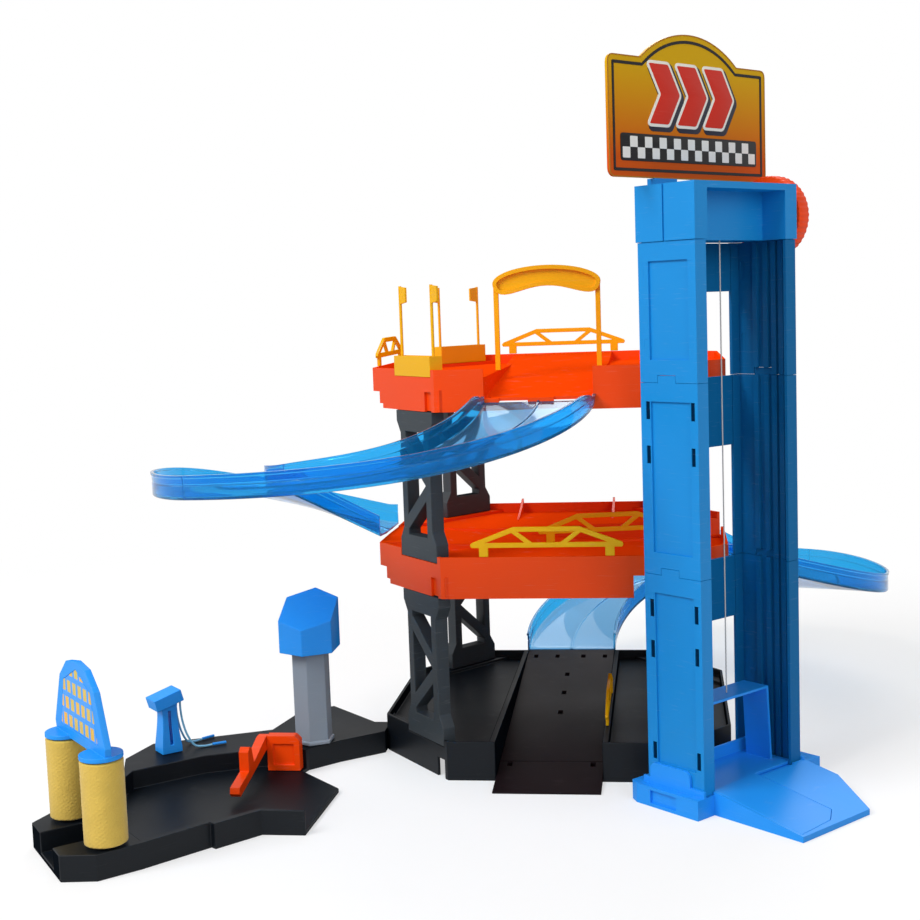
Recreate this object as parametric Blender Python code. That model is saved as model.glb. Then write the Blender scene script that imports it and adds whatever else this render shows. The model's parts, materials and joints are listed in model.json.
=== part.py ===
"""Toy parking garage with two falling tracks, a hand-cranked lift tower and a service station.

Sizes are in millimetres and become metres as each mesh is made. +Z is up, +X is the garage's
right, +Y its back. The origin lies on the floor below the middle of the three levels.
"""
import math

import bmesh
import bpy
from mathutils import Matrix, Vector

MM = 0.001
GAP = 0.3                      # room between pieces that touch

# Levels
BASE_HEIGHT = 33.0             # top of the floor tray
DECK_HEIGHT = 34.0             # height of an upper deck's skirt
STOREY = 152.0                 # pitch of the levels, underside to underside
MID_BOTTOM = STOREY
TOP_BOTTOM = 2 * STOREY
TRAY_DEPTH = 9.0               # parking floor below the rim
WALL = 2.6                     # moulded wall of trays and decks
FLOOR = 3.0                    # moulded floor of trays and decks

# Plan of the levels
HALF_X = 149.0
HALF_Y = 158.0
CORNER_X = 65.5                # run of each cut corner along X
CORNER_Y = 82.0                # and along Y
PAD_DEPTH = 16.0               # low pad along a cut corner, where a leg stands
PAD_DROP = 6.0                 # pad below the rim
SKIRT_NOTCH = (11.0, 16.0)     # width and height, beside the front leg
LANE_HALF = 43.5               # half width of every lane
LANE_WALL = 5.0                # side walls of the lanes
LANE_FLOOR = 2.6               # thickness of a lane's floor

# Lanes of the upper decks
MID_LANE_IN = Vector((-HALF_X, -28.0))     # where the upper track arrives
MID_LANE_OUT = Vector((HALF_X, 31.0))      # where the lower track leaves
TOP_LANE_STEP = 7.5            # end of the top lane above the deck's underside
MID_CUT = (72.0, 18.0)         # start and height of the cut in the middle deck's front skirt
CURB = 2.0                     # lane sides above the parking floor
TOWER_ROOM = 1.2               # between the levels and the foot of the tower

# Exit ramp
RAMP_FRONT = -189.0
RAMP_LIP = 1.6
RAMP_SKIN = 2.8
RAMP_SLOT = (4.0, 9.0)         # width and length
RAMP_SLOT_PLACES = (-0.8, -0.3, 0.3, 0.8)      # shares of the lane's half width
RAMP_SLOT_BACK = 22.0
RAMP_SLOT_FRONT = 52.0
RAMP_SLOT_MIDDLE = (0.3, 0.5, 0.7)     # shares of the way up the hollow part
RAMP_SEAM = 30.0               # seam across the ramp, from the front of the levels

# Legs
LEG_WIDTH = 60.0
LEG_THICK = 12.0
LEG_POST = 8.5                 # width of a leg's uprights and braces
LEG_HEAD = 9.0                 # wide block under the deck
LEG_FOOT = 15.0                # wide block on the pad
LEG_SHOULDER = 10.0            # slant between a block and the uprights
LEG_WAIST = 6.0                # uprights set in from the blocks, each side
LEG_BRACE = 13.0               # height of a slanted brace at its ends

# Tracks
TRACK_HALF = LANE_HALF + 1.5
TRACK_WALL_HEIGHT = 16.5
TRACK_SKIN = 1.8
TRACK_RIB = 1.6
UPPER_RADIUS = 133.0
UPPER_SWEEP = 262.6
UPPER_FALL = (TOP_BOTTOM + TOP_LANE_STEP - 0.5, 274.0, 256.0, 241.0,
              MID_BOTTOM + DECK_HEIGHT + 3.5)        # floor height at each quarter
LOWER_RADIUS = 135.0
LOWER_SWEEP = 262.5
LOWER_LEAD = 6.5               # straight run at the end of the lower track
LOWER_FALL = (MID_BOTTOM + 1.5, 102.0, 94.0, 82.0, BASE_HEIGHT + 0.5)
TRACK_STEPS = 18               # stations along each half of a track

# Guard rails
RAIL_LENGTH = 121.0
RAIL_HEIGHT = 24.0
RAIL_BAR = 4.0
RAIL_LIFT = 7.2                # room below the lower bar
RAIL_FLAT = 0.44               # share of the length taken by the upper bar
RAIL_POST = (7.5, 0.42)        # width of a post, and its place as a share of the length
RAIL_BRACE = 6.0
MID_RAIL_SHARE = 0.63          # place of the rail beside the middle lane, along the lane
BASE_RAIL_Y = -57.0
MID_FRONT_RAIL_X = 3.0
RAIL_THICK = 2.6

# Flag stands and arch
FLAG_BOX = (60.0, 12.0, 16.5)
FLAG_POLE = 74.0               # pole top above the pad
FLAG_POLE_RADIUS = 1.3
FLAG_SIZE = (10.0, 15.0)
ARCH_Y = -40.0
ARCH_LEG = 4.2
ARCH_TOP = 421.0
ARCH_BANNER = 24.0
ARCH_RIM = 4.0

# Lift tower, in its own frame: X runs along its front, Y goes back from its front-left foot
TOWER_FOOT = (110.4, -238.5)
TOWER_TURN = 48.0
TOWER_LEFT = 10.0
TOWER_RIGHT = 127.0
TOWER_FRONT = -8.0
TOWER_BACK = 48.0
TOWER_FLANGE = 12.0            # front and back strips of each side wall
TOWER_WALL = 3.0
TOWER_SEAMS = (180.0, 326.0)   # heights where the storeys of the tower meet
SEAM_TONGUE = (13.0, 31.0, 5.5)        # front, back and height of the step in each seam
TOWER_SUNK = 1.8               # depth of the panels in the side walls
SLOT_HEIGHTS = {"lower": (35.0, 115.0, 147.0), "middle": (265.0, 298.5), "upper": (345.0, 402.0)}
SLOT_TALL = 13.5
SLOT_FRONT = (-5.0, -1.2)      # clip slots beside the front and back edges
SLOT_BACK = (39.0, 43.0)
TOWER_HEAD = 430.5             # underside of the cap
TOWER_TOP = 472.5
TOWER_FLOOR = 15.5
TOWER_REAR = 60.0              # back edge of the tower's foot
GUIDE_RIBS = (2.5, 9.5, 17.5, 27.5)    # middles of the upright ribs inside the side walls
GUIDE_RIB = (2.4, 4.6)         # how far a rib stands out, and its width
BACK_PANELS = {"lower": 50.0, "middle": 56.0, "upper": 38.0}   # heights behind the shaft
BACK_HOLE = (14.0, 9.0)

# Tower ramp and lift
FOOT_RAMP_FRONT = -91.0
FOOT_RAMP_LIP = 4.5
FOOT_RAMP_LEFT = 19.0
FOOT_RAMP_RIGHT = 100.0
FOOT_RAMP_FLARE = (129.5, -42.0)
FOOT_RIGHT = 150.0
FOOT_RIM = 5.0
SOCKET_PLATE = (4.0, 44.0, 17.0)       # front, back and height of the plate left of the walls
SOCKET_POCKET = (12.0, 38.0)   # front and back of the pocket in the left side
LIFT_PLAY = 0.8                # between the lift car and the guide ribs
LIFT_PLATE = 2.5
LIFT_LIP = 10.0
LIFT_TONGUE = (22.0, 74.0)     # left and right edges of the tongue on the ramp
LIFT_TONGUE_END = -88.0
LIFT_TONGUE_BEND = 59.0        # where its front edge turns back
LIFT_BAIL_TOP = 79.5
LIFT_BAIL = (8.0, 33.0)        # front and back edges of the bail's strap
LIFT_BAIL_HALF = (43.5, 39.5)  # half width at its feet and at its top
LIFT_BAIL_SKIN = 2.2
STRING_RADIUS = 0.6

# Cap, crank and sign
CAP_WALL = 13.0
CAP_NICHE = 13.0               # back of the open niche
CAP_ROOF = 5.0
CAP_PANEL = 1.6
CAP_GROOVE = (1.2, 20.0, 22.0)  # depth, front and back of the groove down the left face
CRANK_Y = 23.0
CRANK_Z = 449.5
SPOOL_RADIUS = 5.0
SPOOL_FLANGE = 7.0
SPOOL_LENGTH = 24.0
SHAFT_RADIUS = 2.5
WHEEL_RADIUS = 32.0
WHEEL_WIDTH = 13.0
WHEEL_TEETH = 44
BOSS_RADIUS = 28.0
BOSS_WIDTH = 3.5
SIGN_SIZE = (180.0, 88.0)
SIGN_THICK = 2.5
SIGN_Y = 41.0
SIGN_RISE = 5.5                # underside of the sign above the cap
SIGN_ARC = (110.0, 20.0)       # chord and rise of its curved top
SIGN_CORNER = 6.0

# Service station, in its own frame: X runs along the wash lane, Y across it
STATION = (-321.5, -333.0)
STATION_TURN = 42.0
TRAY_FLOOR = 4.0
TRAY_TOP = 19.5
ROLLER_Y = 36.0
ROLLER_RADIUS = 15.5
ROLLER_TOP = 82.0
AXLE_RADIUS = 4.0
SIGN_FEET = 3.2
WASH_SIGN_TOP = 145.0
WASH_SIGN_THICK = 5.0
PUMP = (-325.0, -147.0)
PUMP_BODY = (18.0, 17.0, 41.0)
PUMP_WAIST = 2.6               # body narrower below its head, each side
PUMP_HEAD = (25.0, 20.0, 10.0)
PUMP_HEAD_TILT = 15.0
HOSE_RADIUS = 0.9
# Bends of a hose: out from the pump, share of the height, and spread to its side
HOSE_BENDS = ((0.0, 1.0, 1.0), (0.2, 0.8, 1.0), (1.4, 0.55, 1.1), (4.5, 0.28, 1.3),
              (10.0, 0.05, 1.6), (17.0, 0.0, 1.9), (25.0, 0.0, 2.2))
BARRIER = (-224.0, -145.0)
BARRIER_POST = (28.0, 10.0, 30.0)
BARRIER_ARM = 86.0
BARRIER_ARM_THICK = 8.0
BARRIER_PRONG = (16.0, 10.0)   # height and width of the prong near the arm's low end
BARRIER_PIN_RADIUS = 1.6
BARRIER_PIN_Z = 27.0
KIOSK = (-206.0, -114.0)
KIOSK_RADIUS = 16.5
KIOSK_TOP = 100.0
KIOSK_ROOF = (23.0, 29.0)      # half width and half depth of the roof
KIOSK_ROOF_TOP = (122.0, 149.0)

PLASTICS = {
    "dark": ((0.012, 0.013, 0.016), 0.5),
    "ramp": ((0.022, 0.014, 0.016), 0.55),
    "leg": ((0.035, 0.040, 0.045), 0.5),
    "orange": ((0.90, 0.10, 0.015), 0.38),
    "blue": ((0.035, 0.30, 0.78), 0.4),
    "bright_blue": ((0.02, 0.25, 0.85), 0.38),
    "track": ((0.05, 0.42, 0.80), 0.15),
    "yellow": ((0.90, 0.52, 0.02), 0.42),
    "foam": ((0.85, 0.62, 0.18), 0.95),
    "grey": ((0.38, 0.40, 0.44), 0.45),
    "sign": ((0.85, 0.38, 0.03), 0.5),
    "string": ((0.80, 0.80, 0.78), 0.8),
    "hose": ((0.25, 0.60, 0.85), 0.3),
    "steel": ((0.55, 0.56, 0.58), 0.3),
}

for old in list(bpy.data.objects):
    bpy.data.objects.remove(old)
PARTS = bpy.data.collections.new("toy_garage")
TOOLS = bpy.data.collections.new("cutters")
bpy.context.scene.collection.children.link(PARTS)
bpy.context.scene.collection.children.link(TOOLS)


def plastic(name):
    """A Principled material of one of the toy's plastics."""
    if name in bpy.data.materials:
        return bpy.data.materials[name]
    colour, roughness = PLASTICS[name]
    material = bpy.data.materials.new(name)
    material.use_nodes = True
    shader = material.node_tree.nodes["Principled BSDF"]
    shader.inputs["Base Color"].default_value = (*colour, 1.0)
    shader.inputs["Roughness"].default_value = roughness
    shader.inputs["Metallic"].default_value = 1.0 if name == "steel" else 0.0
    return material


def frame_at(name, x, y, z=0.0, turn=0.0):
    """An empty that carries pieces: a place in millimetres and a turn about Z in degrees."""
    empty = bpy.data.objects.new(name, None)
    empty.location = (x * MM, y * MM, z * MM)
    empty.rotation_euler = (0.0, 0.0, math.radians(turn))
    PARTS.objects.link(empty)
    return empty


def weld(mesh):
    """Join the vertices that share a place, and turn every face outwards."""
    work = bmesh.new()
    work.from_mesh(mesh)
    bmesh.ops.remove_doubles(work, verts=work.verts, dist=0.00001)
    bmesh.ops.recalc_face_normals(work, faces=work.faces)
    work.to_mesh(mesh)
    work.free()


def mesh_of_curve(curve):
    """The closed mesh of a curve with its caps welded on."""
    holder = bpy.data.objects.new("curve", curve)
    bpy.context.scene.collection.objects.link(holder)
    seen = holder.evaluated_get(bpy.context.evaluated_depsgraph_get())
    mesh = bpy.data.meshes.new_from_object(seen)
    bpy.data.objects.remove(holder)
    bpy.data.curves.remove(curve)
    weld(mesh)
    return mesh


def place(mesh, name="cutter", parent=None, finish=None, at=(0.0, 0.0, 0.0)):
    """Put a mesh in the scene. With a finish it is a piece, and otherwise a cutter."""
    thing = bpy.data.objects.new(name, mesh)
    thing.location = Vector(at) * MM
    thing.parent = parent
    if finish:
        mesh.materials.clear()
        mesh.materials.append(plastic(finish))
        PARTS.objects.link(thing)
    else:
        TOOLS.objects.link(thing)
        thing.hide_render = True
        thing.display_type = "WIRE"
    return thing


def plate_mesh(outlines, low, high, axis="z"):
    """A flat outline, with any further ones as holes in it, raised from low to high.

    Along z the outline lies in XY, along y in XZ and along x in YZ.
    """
    curve = bpy.data.curves.new("outline", "CURVE")
    curve.dimensions = "2D"
    curve.fill_mode = "BOTH"
    curve.extrude = (high - low) / 2 * MM
    for points in outlines:
        spline = curve.splines.new("POLY")
        spline.points.add(len(points) - 1)
        for knot, point in zip(spline.points, points):
            knot.co = (point[0] * MM, point[1] * MM, 0.0, 1.0)
        spline.use_cyclic_u = True
    mesh = mesh_of_curve(curve)
    turn = {
        "z": Matrix.Identity(4),
        "y": Matrix.Rotation(math.pi / 2, 4, "X"),
        "x": Matrix(((0, 0, 1, 0), (1, 0, 0, 0), (0, 1, 0, 0), (0, 0, 0, 1))),
    }[axis]
    lift = {"x": (1, 0, 0), "y": (0, 1, 0), "z": (0, 0, 1)}[axis]
    middle = Vector(lift) * (low + high) / 2 * MM
    mesh.transform(Matrix.Translation(middle) @ turn)
    return mesh


def box_mesh(x, y, z):
    """A box between the low and high values given for each axis."""
    mesh = bpy.data.meshes.new("box")
    work = bmesh.new()
    bmesh.ops.create_cube(work, size=1.0)
    middle = Vector((x[0] + x[1], y[0] + y[1], z[0] + z[1])) * MM / 2
    size = Vector((x[1] - x[0], y[1] - y[0], z[1] - z[0])) * MM
    work.transform(Matrix.Translation(middle) @ Matrix.Diagonal(size.to_4d()))
    work.to_mesh(mesh)
    work.free()
    return mesh


def round_mesh(radius, low, high, axis="z", centre=(0.0, 0.0), sides=24):
    """A cylinder along an axis. Its centre is given in the plane of a plate's outline."""
    mesh = bpy.data.meshes.new("round")
    work = bmesh.new()
    bmesh.ops.create_cone(work, cap_ends=True, segments=sides, radius1=radius * MM,
                          radius2=radius * MM, depth=(high - low) * MM)
    level = (low + high) / 2
    turn, middle = {
        "z": (Matrix.Identity(4), (centre[0], centre[1], level)),
        "y": (Matrix.Rotation(-math.pi / 2, 4, "X"), (centre[0], level, centre[1])),
        "x": (Matrix.Rotation(math.pi / 2, 4, "Y"), (level, centre[0], centre[1])),
    }[axis]
    work.transform(Matrix.Translation(Vector(middle) * MM) @ turn)
    work.to_mesh(mesh)
    work.free()
    return mesh


def combine(piece, tool, operation="DIFFERENCE"):
    """Cut a tool from a piece, or join it on. A tool is a mesh in the piece's frame, or a cutter."""
    if isinstance(tool, bpy.types.Mesh):
        tool = place(tool, piece.name + "_tool", piece.parent)
        tool.location = piece.location
    step = piece.modifiers.new("Boolean", "BOOLEAN")
    step.operation = operation
    step.solver = "EXACT"
    step.object = tool
    return piece


def join(piece, tool):
    """Join a tool on a piece."""
    return combine(piece, tool, "UNION")


def smooth(piece, angle=32.0):
    """Shade a round piece smooth up to the given edge angle."""
    piece.data.shade_smooth()
    piece.data.set_sharp_from_angle(angle=math.radians(angle))
    return piece


def inset(outline, widths):
    """Move each side of a convex outline, listed anticlockwise, inwards by its own width."""
    lines = []
    count = len(outline)
    for index, width in enumerate(widths):
        start = Vector(outline[index])
        along = (Vector(outline[(index + 1) % count]) - start).normalized()
        inward = Vector((-along.y, along.x))
        lines.append((start + inward * width, along))
    corners = []
    for index in range(count):
        (a, u), (b, v) = lines[index - 1], lines[index]
        reach = (b - a).cross(v) / u.cross(v)
        corners.append(a + u * reach)
    return corners


def arc(centre, radius, start, end, steps):
    """Points along an arc, angles in degrees."""
    turn = [math.radians(start + (end - start) * step / steps) for step in range(steps + 1)]
    return [(centre[0] + radius * math.cos(a), centre[1] + radius * math.sin(a)) for a in turn]


def tower_point(x, y):
    """A place in the tower's frame as a place on the garage's floor plan."""
    turn = Matrix.Rotation(math.radians(TOWER_TURN), 2)
    return Vector(TOWER_FOOT) + turn @ Vector((x, y))


def level_plan():
    """The plan shared by the three levels, anticlockwise from the left end of the front."""
    behind = tower_point(0.0, TOWER_REAR + TOWER_ROOM)
    along = tower_point(1.0, TOWER_REAR + TOWER_ROOM) - behind
    front = behind + along * ((-HALF_Y - behind.y) / along.y)
    side = behind + along * ((HALF_X - behind.x) / along.x)
    return [
        (-HALF_X + CORNER_X, -HALF_Y), front, side,
        (HALF_X, HALF_Y - CORNER_Y), (HALF_X - CORNER_X, HALF_Y),
        (-HALF_X + CORNER_X, HALF_Y), (-HALF_X, HALF_Y - CORNER_Y),
        (-HALF_X, -HALF_Y + CORNER_Y),
    ]


# The sides of the plan, anticlockwise, each from its own point to the next one
SIDES = ("front", "tower", "right", "back_right", "back", "back_left", "left", "front_left")
# Where each leg stands: the side of the plan, and whether at its end or its start
CORNERS = {"front": ("front_left", True), "back_left": ("back_left", False),
           "back_right": ("back_right", True)}
FLAG_CORNERS = ("front", "back_left")


def corner_frame(name, corner, height):
    """A frame in the middle of a leg's place: X along the cut corner, Y inwards."""
    word, at_end = CORNERS[corner]
    side = SIDES.index(word)
    plan = [Vector(point) for point in level_plan()]
    start, end = plan[side], plan[(side + 1) % len(plan)]
    along = (end - start).normalized()
    inward = Vector((-along.y, along.x))
    reach = 2 * WALL + LEG_WIDTH / 2
    spot = end - along * reach if at_end else start + along * reach
    spot += inward * LEG_THICK / 2
    return frame_at(name, spot.x, spot.y, height, math.degrees(math.atan2(along.y, along.x)))


def widths(common, **other):
    """A width for each side of the plan: the common one, except on the sides that are named."""
    return [other.get(word, common) for word in SIDES]


def tray(name, bottom, height, finish, corners):
    """One level: a moulded tray, hollow below, its floor sunk, with a notched pad for each leg."""
    plan = level_plan()
    top = bottom + height
    piece = place(plate_mesh([plan], bottom, top), name, finish=finish)
    pads = {CORNERS[corner][0]: PAD_DEPTH for corner in CORNERS}
    combine(piece, plate_mesh([inset(plan, widths(WALL))], top - PAD_DROP, top + 1))
    combine(piece, plate_mesh([inset(plan, widths(WALL, **pads))], top - TRAY_DEPTH, top - 1))
    ceiling = top - TRAY_DEPTH - FLOOR
    combine(piece, plate_mesh([inset(plan, widths(WALL))], bottom - 1, ceiling))
    for corner in corners:
        spot = corner_frame(f"{name}_{corner}_notch", corner, 0.0)
        half, face = LEG_WIDTH / 2 + GAP, LEG_THICK / 2
        combine(piece, place(box_mesh((-half, half), (-face - 1, face), (top - PAD_DROP, top + 1)),
                             parent=spot))
        if corner == "front":
            wide, tall = SKIRT_NOTCH
            combine(piece, place(box_mesh((half - wide, half), (-face - 1, WALL - face + 1),
                                          (bottom - 1, bottom + tall)), parent=spot))
    return piece


def sloped(profile, half, start, along):
    """A profile in the plane of a lane, made as wide as the lane and set along it."""
    mesh = plate_mesh([profile], -half, half, "y")
    turn = math.atan2(along.y, along.x)
    mesh.transform(Matrix.Translation((start.x * MM, start.y * MM, 0.0))
                   @ Matrix.Rotation(turn, 4, "Z"))
    return mesh


def cut_lane(piece, bottom, start, end, step=0.0):
    """A lane that falls from the rim at its start to a step above the deck's underside."""
    top = bottom + DECK_HEIGHT
    parking = top - TRAY_DEPTH
    length = (end - start).length
    along = (end - start).normalized()
    drop = DECK_HEIGHT - LANE_FLOOR - step
    past = 20.0

    def level(distance):
        return top - drop * distance / length

    sides = [(-past, bottom), (length + past, bottom), (length + past, parking + CURB),
             (0.3 * length, parking + CURB), (0.0, top), (-past, top)]
    trough = place(sloped(sides, LANE_HALF + LANE_WALL, start, along), piece.name + "_trough")
    combine(trough, plate_mesh([level_plan()], bottom, top), "INTERSECT")
    join(piece, trough)
    under = [(WALL, bottom - 1), (length - WALL, bottom - 1),
             (length - WALL, level(length - WALL) - LANE_FLOOR), (WALL, level(WALL) - LANE_FLOOR)]
    combine(piece, sloped(under, LANE_HALF, start, along))
    open_top = [(-past, level(-past)), (length + past, level(length + past)),
                (length + past, top + 1), (-past, top + 9)]
    combine(piece, sloped(open_top, LANE_HALF, start, along))


def make_levels():
    """The floor tray and the two parking decks."""
    base = tray("garage_base", 0.0, BASE_HEIGHT, "dark", CORNERS)
    lane = LANE_HALF + GAP
    join(base, box_mesh((-lane - LANE_WALL, lane + LANE_WALL), (-HALF_Y, HALF_Y), (0.0, BASE_HEIGHT)))
    combine(base, box_mesh((-lane, lane), (-HALF_Y - 1, HALF_Y - WALL),
                           (LANE_FLOOR, BASE_HEIGHT + 1)))
    mid = tray("mid_deck", MID_BOTTOM, DECK_HEIGHT, "orange", CORNERS)
    cut_lane(mid, MID_BOTTOM, MID_LANE_IN, MID_LANE_OUT)
    cut_start, cut_rise = MID_CUT
    combine(mid, box_mesh((cut_start, HALF_X), (-HALF_Y - 1, 1 - HALF_Y + WALL),
                          (MID_BOTTOM - 1, MID_BOTTOM + cut_rise)))
    top = tray("top_deck", TOP_BOTTOM, DECK_HEIGHT, "orange", FLAG_CORNERS)
    cut_lane(top, TOP_BOTTOM, Vector((0.0, HALF_Y)), Vector((0.0, -HALF_Y)), TOP_LANE_STEP)


def make_exit_ramp():
    """The long plate that lies in the base's lane, hollow below, with rows of slots."""
    back = HALF_Y - WALL - GAP
    rest = LANE_FLOOR + GAP
    step = -HALF_Y - GAP
    slope = (BASE_HEIGHT - RAMP_LIP) / (back - RAMP_FRONT)

    def level(y):
        return RAMP_LIP + slope * (y - RAMP_FRONT)

    outline = [(RAMP_FRONT, 0.0), (step, 0.0), (step, rest), (back, rest),
               (back, BASE_HEIGHT), (RAMP_FRONT, RAMP_LIP)]
    ramp = place(plate_mesh([outline], -LANE_HALF, LANE_HALF, "x"), "exit_ramp", finish="ramp")
    near = RAMP_FRONT + (rest + 2 * RAMP_SKIN) / slope
    hollow = [(near, rest - 1), (back - WALL, rest - 1), (back - WALL, level(back - WALL) - RAMP_SKIN),
              (near, level(near) - RAMP_SKIN)]
    combine(ramp, plate_mesh([hollow], WALL - LANE_HALF, LANE_HALF - WALL, "x"))
    width, length = RAMP_SLOT
    spots = [(x * LANE_HALF, back - RAMP_SLOT_BACK) for x in RAMP_SLOT_PLACES]
    spots += [(side * LANE_HALF * RAMP_SLOT_PLACES[-1], RAMP_FRONT + RAMP_SLOT_FRONT) for side in (-1, 1)]
    spots += [(0.0, near + (back - near) * share) for share in RAMP_SLOT_MIDDLE]
    slots = [[(x - width / 2, y), (x + width / 2, y), (x + width / 2, y + length),
              (x - width / 2, y + length)] for x, y in spots]
    combine(ramp, plate_mesh(slots, -1.0, BASE_HEIGHT + 1))
    seam = -HALF_Y + RAMP_SEAM
    combine(ramp, box_mesh((-LANE_HALF - 1, LANE_HALF + 1), (seam, seam + 1.0),
                           (level(seam) - 0.8, BASE_HEIGHT + 1)))


def leg_outlines(height):
    """The silhouette of a leg, wide at its foot and head, and the windows of its zigzag brace."""
    half = LEG_WIDTH / 2
    waist = half - LEG_WAIST
    inner = waist - LEG_POST
    foot, head = LEG_FOOT, height - LEG_HEAD
    outline = [(-half, 0), (half, 0), (half, foot), (waist, foot + LEG_SHOULDER),
               (waist, head - LEG_SHOULDER), (half, head), (half, height), (-half, height),
               (-half, head), (-waist, head - LEG_SHOULDER), (-waist, foot + LEG_SHOULDER),
               (-half, foot)]
    low, high = foot + LEG_POST / 2, head - LEG_POST
    middle = (low + high) / 2
    sliver = LEG_POST / 2
    windows = [
        [(-inner, high), (-inner, high - sliver), (inner, middle + LEG_BRACE), (inner, high)],
        [(-inner, high - sliver - LEG_BRACE), (-inner, low + sliver + LEG_BRACE), (inner, middle)],
        [(inner, middle - LEG_BRACE), (-inner, low + sliver), (-inner, low), (inner, low)],
    ]
    return [outline, *windows]


def make_legs():
    """Six truss legs, three for each storey, each in a notch of the level that it stands on."""
    storeys = {
        "lower": (BASE_HEIGHT - PAD_DROP, MID_BOTTOM),
        "upper": (MID_BOTTOM + DECK_HEIGHT - PAD_DROP, TOP_BOTTOM),
    }
    for storey, (bottom, top) in storeys.items():
        outlines = leg_outlines(top - bottom - 2 * GAP)
        for corner in CORNERS:
            frame = corner_frame(f"{storey}_{corner}_place", corner, bottom + GAP)
            mesh = plate_mesh(outlines, -LEG_THICK / 2, LEG_THICK / 2 - GAP, "y")
            place(mesh, f"{storey}_leg_{corner}", frame, "leg")


def fall_at(fall, share):
    """The floor height at a share of a track's length, on a smooth curve through its quarters."""
    place_on = min(max(share, 0.0), 1.0) * (len(fall) - 1)
    index = min(int(place_on), len(fall) - 2)
    t = place_on - index
    p1, p2 = fall[index], fall[index + 1]
    p0 = fall[index - 1] if index > 0 else 2 * p1 - p2
    p3 = fall[index + 2] if index + 2 < len(fall) else 2 * p2 - p1
    return (p1 + 0.5 * t * (p2 - p0) + t * t * (p0 - 2.5 * p1 + 2 * p2 - 0.5 * p3)
            + t ** 3 * (1.5 * (p1 - p2) + 0.5 * (p3 - p0)))


def track_section():
    """The U section of a track about the middle of its floor, with a low rib along it."""
    half, wall, skin, rib = TRACK_HALF, TRACK_WALL_HEIGHT, TRACK_SKIN, TRACK_RIB / 2
    return [(-half, -skin), (half, -skin), (half, wall), (half - skin, wall),
            (half - skin, 0), (rib, 0), (rib, rib), (-rib, rib), (-rib, 0),
            (skin - half, 0), (skin - half, wall), (-half, wall)]


def track_mesh(centre, radius, start, sweep, fall, first, last, lead=0.0):
    """A track between two shares of its arc: the U section spun about the arc's centre, each
    ring set at its floor height, and a straight lead added at the end."""
    work = bmesh.new()
    ring = [work.verts.new(((radius + x) * MM, 0.0, z * MM)) for x, z in track_section()]
    for corner, following in zip(ring, ring[1:] + ring[:1]):
        work.edges.new((corner, following))
    work.transform(Matrix.Rotation(math.radians(start + sweep * first), 4, "Z"))
    spun = bmesh.ops.spin(work, geom=[*work.verts, *work.edges], cent=(0, 0, 0), axis=(0, 0, 1),
                          angle=math.radians(sweep * (last - first)), steps=TRACK_STEPS)
    for corner in work.verts:
        turned = math.degrees(math.atan2(corner.co.y, corner.co.x)) - start
        share = (turned / sweep * abs(sweep)) % 360.0 / abs(sweep)
        if share > 1.2:
            share -= 360.0 / abs(sweep)
        corner.co.z += fall_at(fall, share) * MM
    if lead:
        rim = [item for item in spun["geom_last"] if isinstance(item, bmesh.types.BMEdge)]
        added = bmesh.ops.extrude_edge_only(work, edges=rim)["geom"]
        heading = math.radians(start + sweep * last + math.copysign(90.0, sweep))
        bmesh.ops.translate(work, verts=[item for item in added if isinstance(item, bmesh.types.BMVert)],
                            vec=Vector((math.cos(heading), math.sin(heading), 0.0)) * lead * MM)
    bmesh.ops.holes_fill(work, edges=[edge for edge in work.edges if edge.is_boundary], sides=0)
    bmesh.ops.recalc_face_normals(work, faces=work.faces)
    work.transform(Matrix.Translation((centre[0] * MM, centre[1] * MM, 0.0)))
    mesh = bpy.data.meshes.new("track")
    work.to_mesh(mesh)
    work.free()
    return mesh


def make_tracks():
    """Two falling tracks, each in two halves: top deck to mid deck, and mid deck to base."""
    joint = GAP / 2 / (math.radians(UPPER_SWEEP) * (UPPER_RADIUS - TRACK_HALF))
    past = 0.02
    edge = HALF_Y + GAP
    upper = ((-UPPER_RADIUS, -edge), UPPER_RADIUS, 0.0, -UPPER_SWEEP, UPPER_FALL)
    place(track_mesh(*upper, 0.0, 0.5 - joint), "upper_track_start", finish="track")
    end = place(track_mesh(*upper, 0.5 + joint, 1.0 + past), "upper_track_end", finish="track")
    combine(end, box_mesh((-HALF_X - GAP, 0.0), (-HALF_Y, HALF_Y), (MID_BOTTOM, TOP_BOTTOM)))
    first = 180.0 - LOWER_SWEEP
    lower = ((LOWER_RADIUS, edge + LOWER_LEAD), LOWER_RADIUS, first, LOWER_SWEEP, LOWER_FALL)
    start = place(track_mesh(*lower, -past, 0.5 - joint), "lower_track_start", finish="track")
    combine(start, box_mesh((0.0, HALF_X + GAP), (-HALF_Y, HALF_Y), (0.0, TOP_BOTTOM)))
    place(track_mesh(*lower, 0.5 + joint, 1.0, LOWER_LEAD), "lower_track_end", finish="track")


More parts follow.
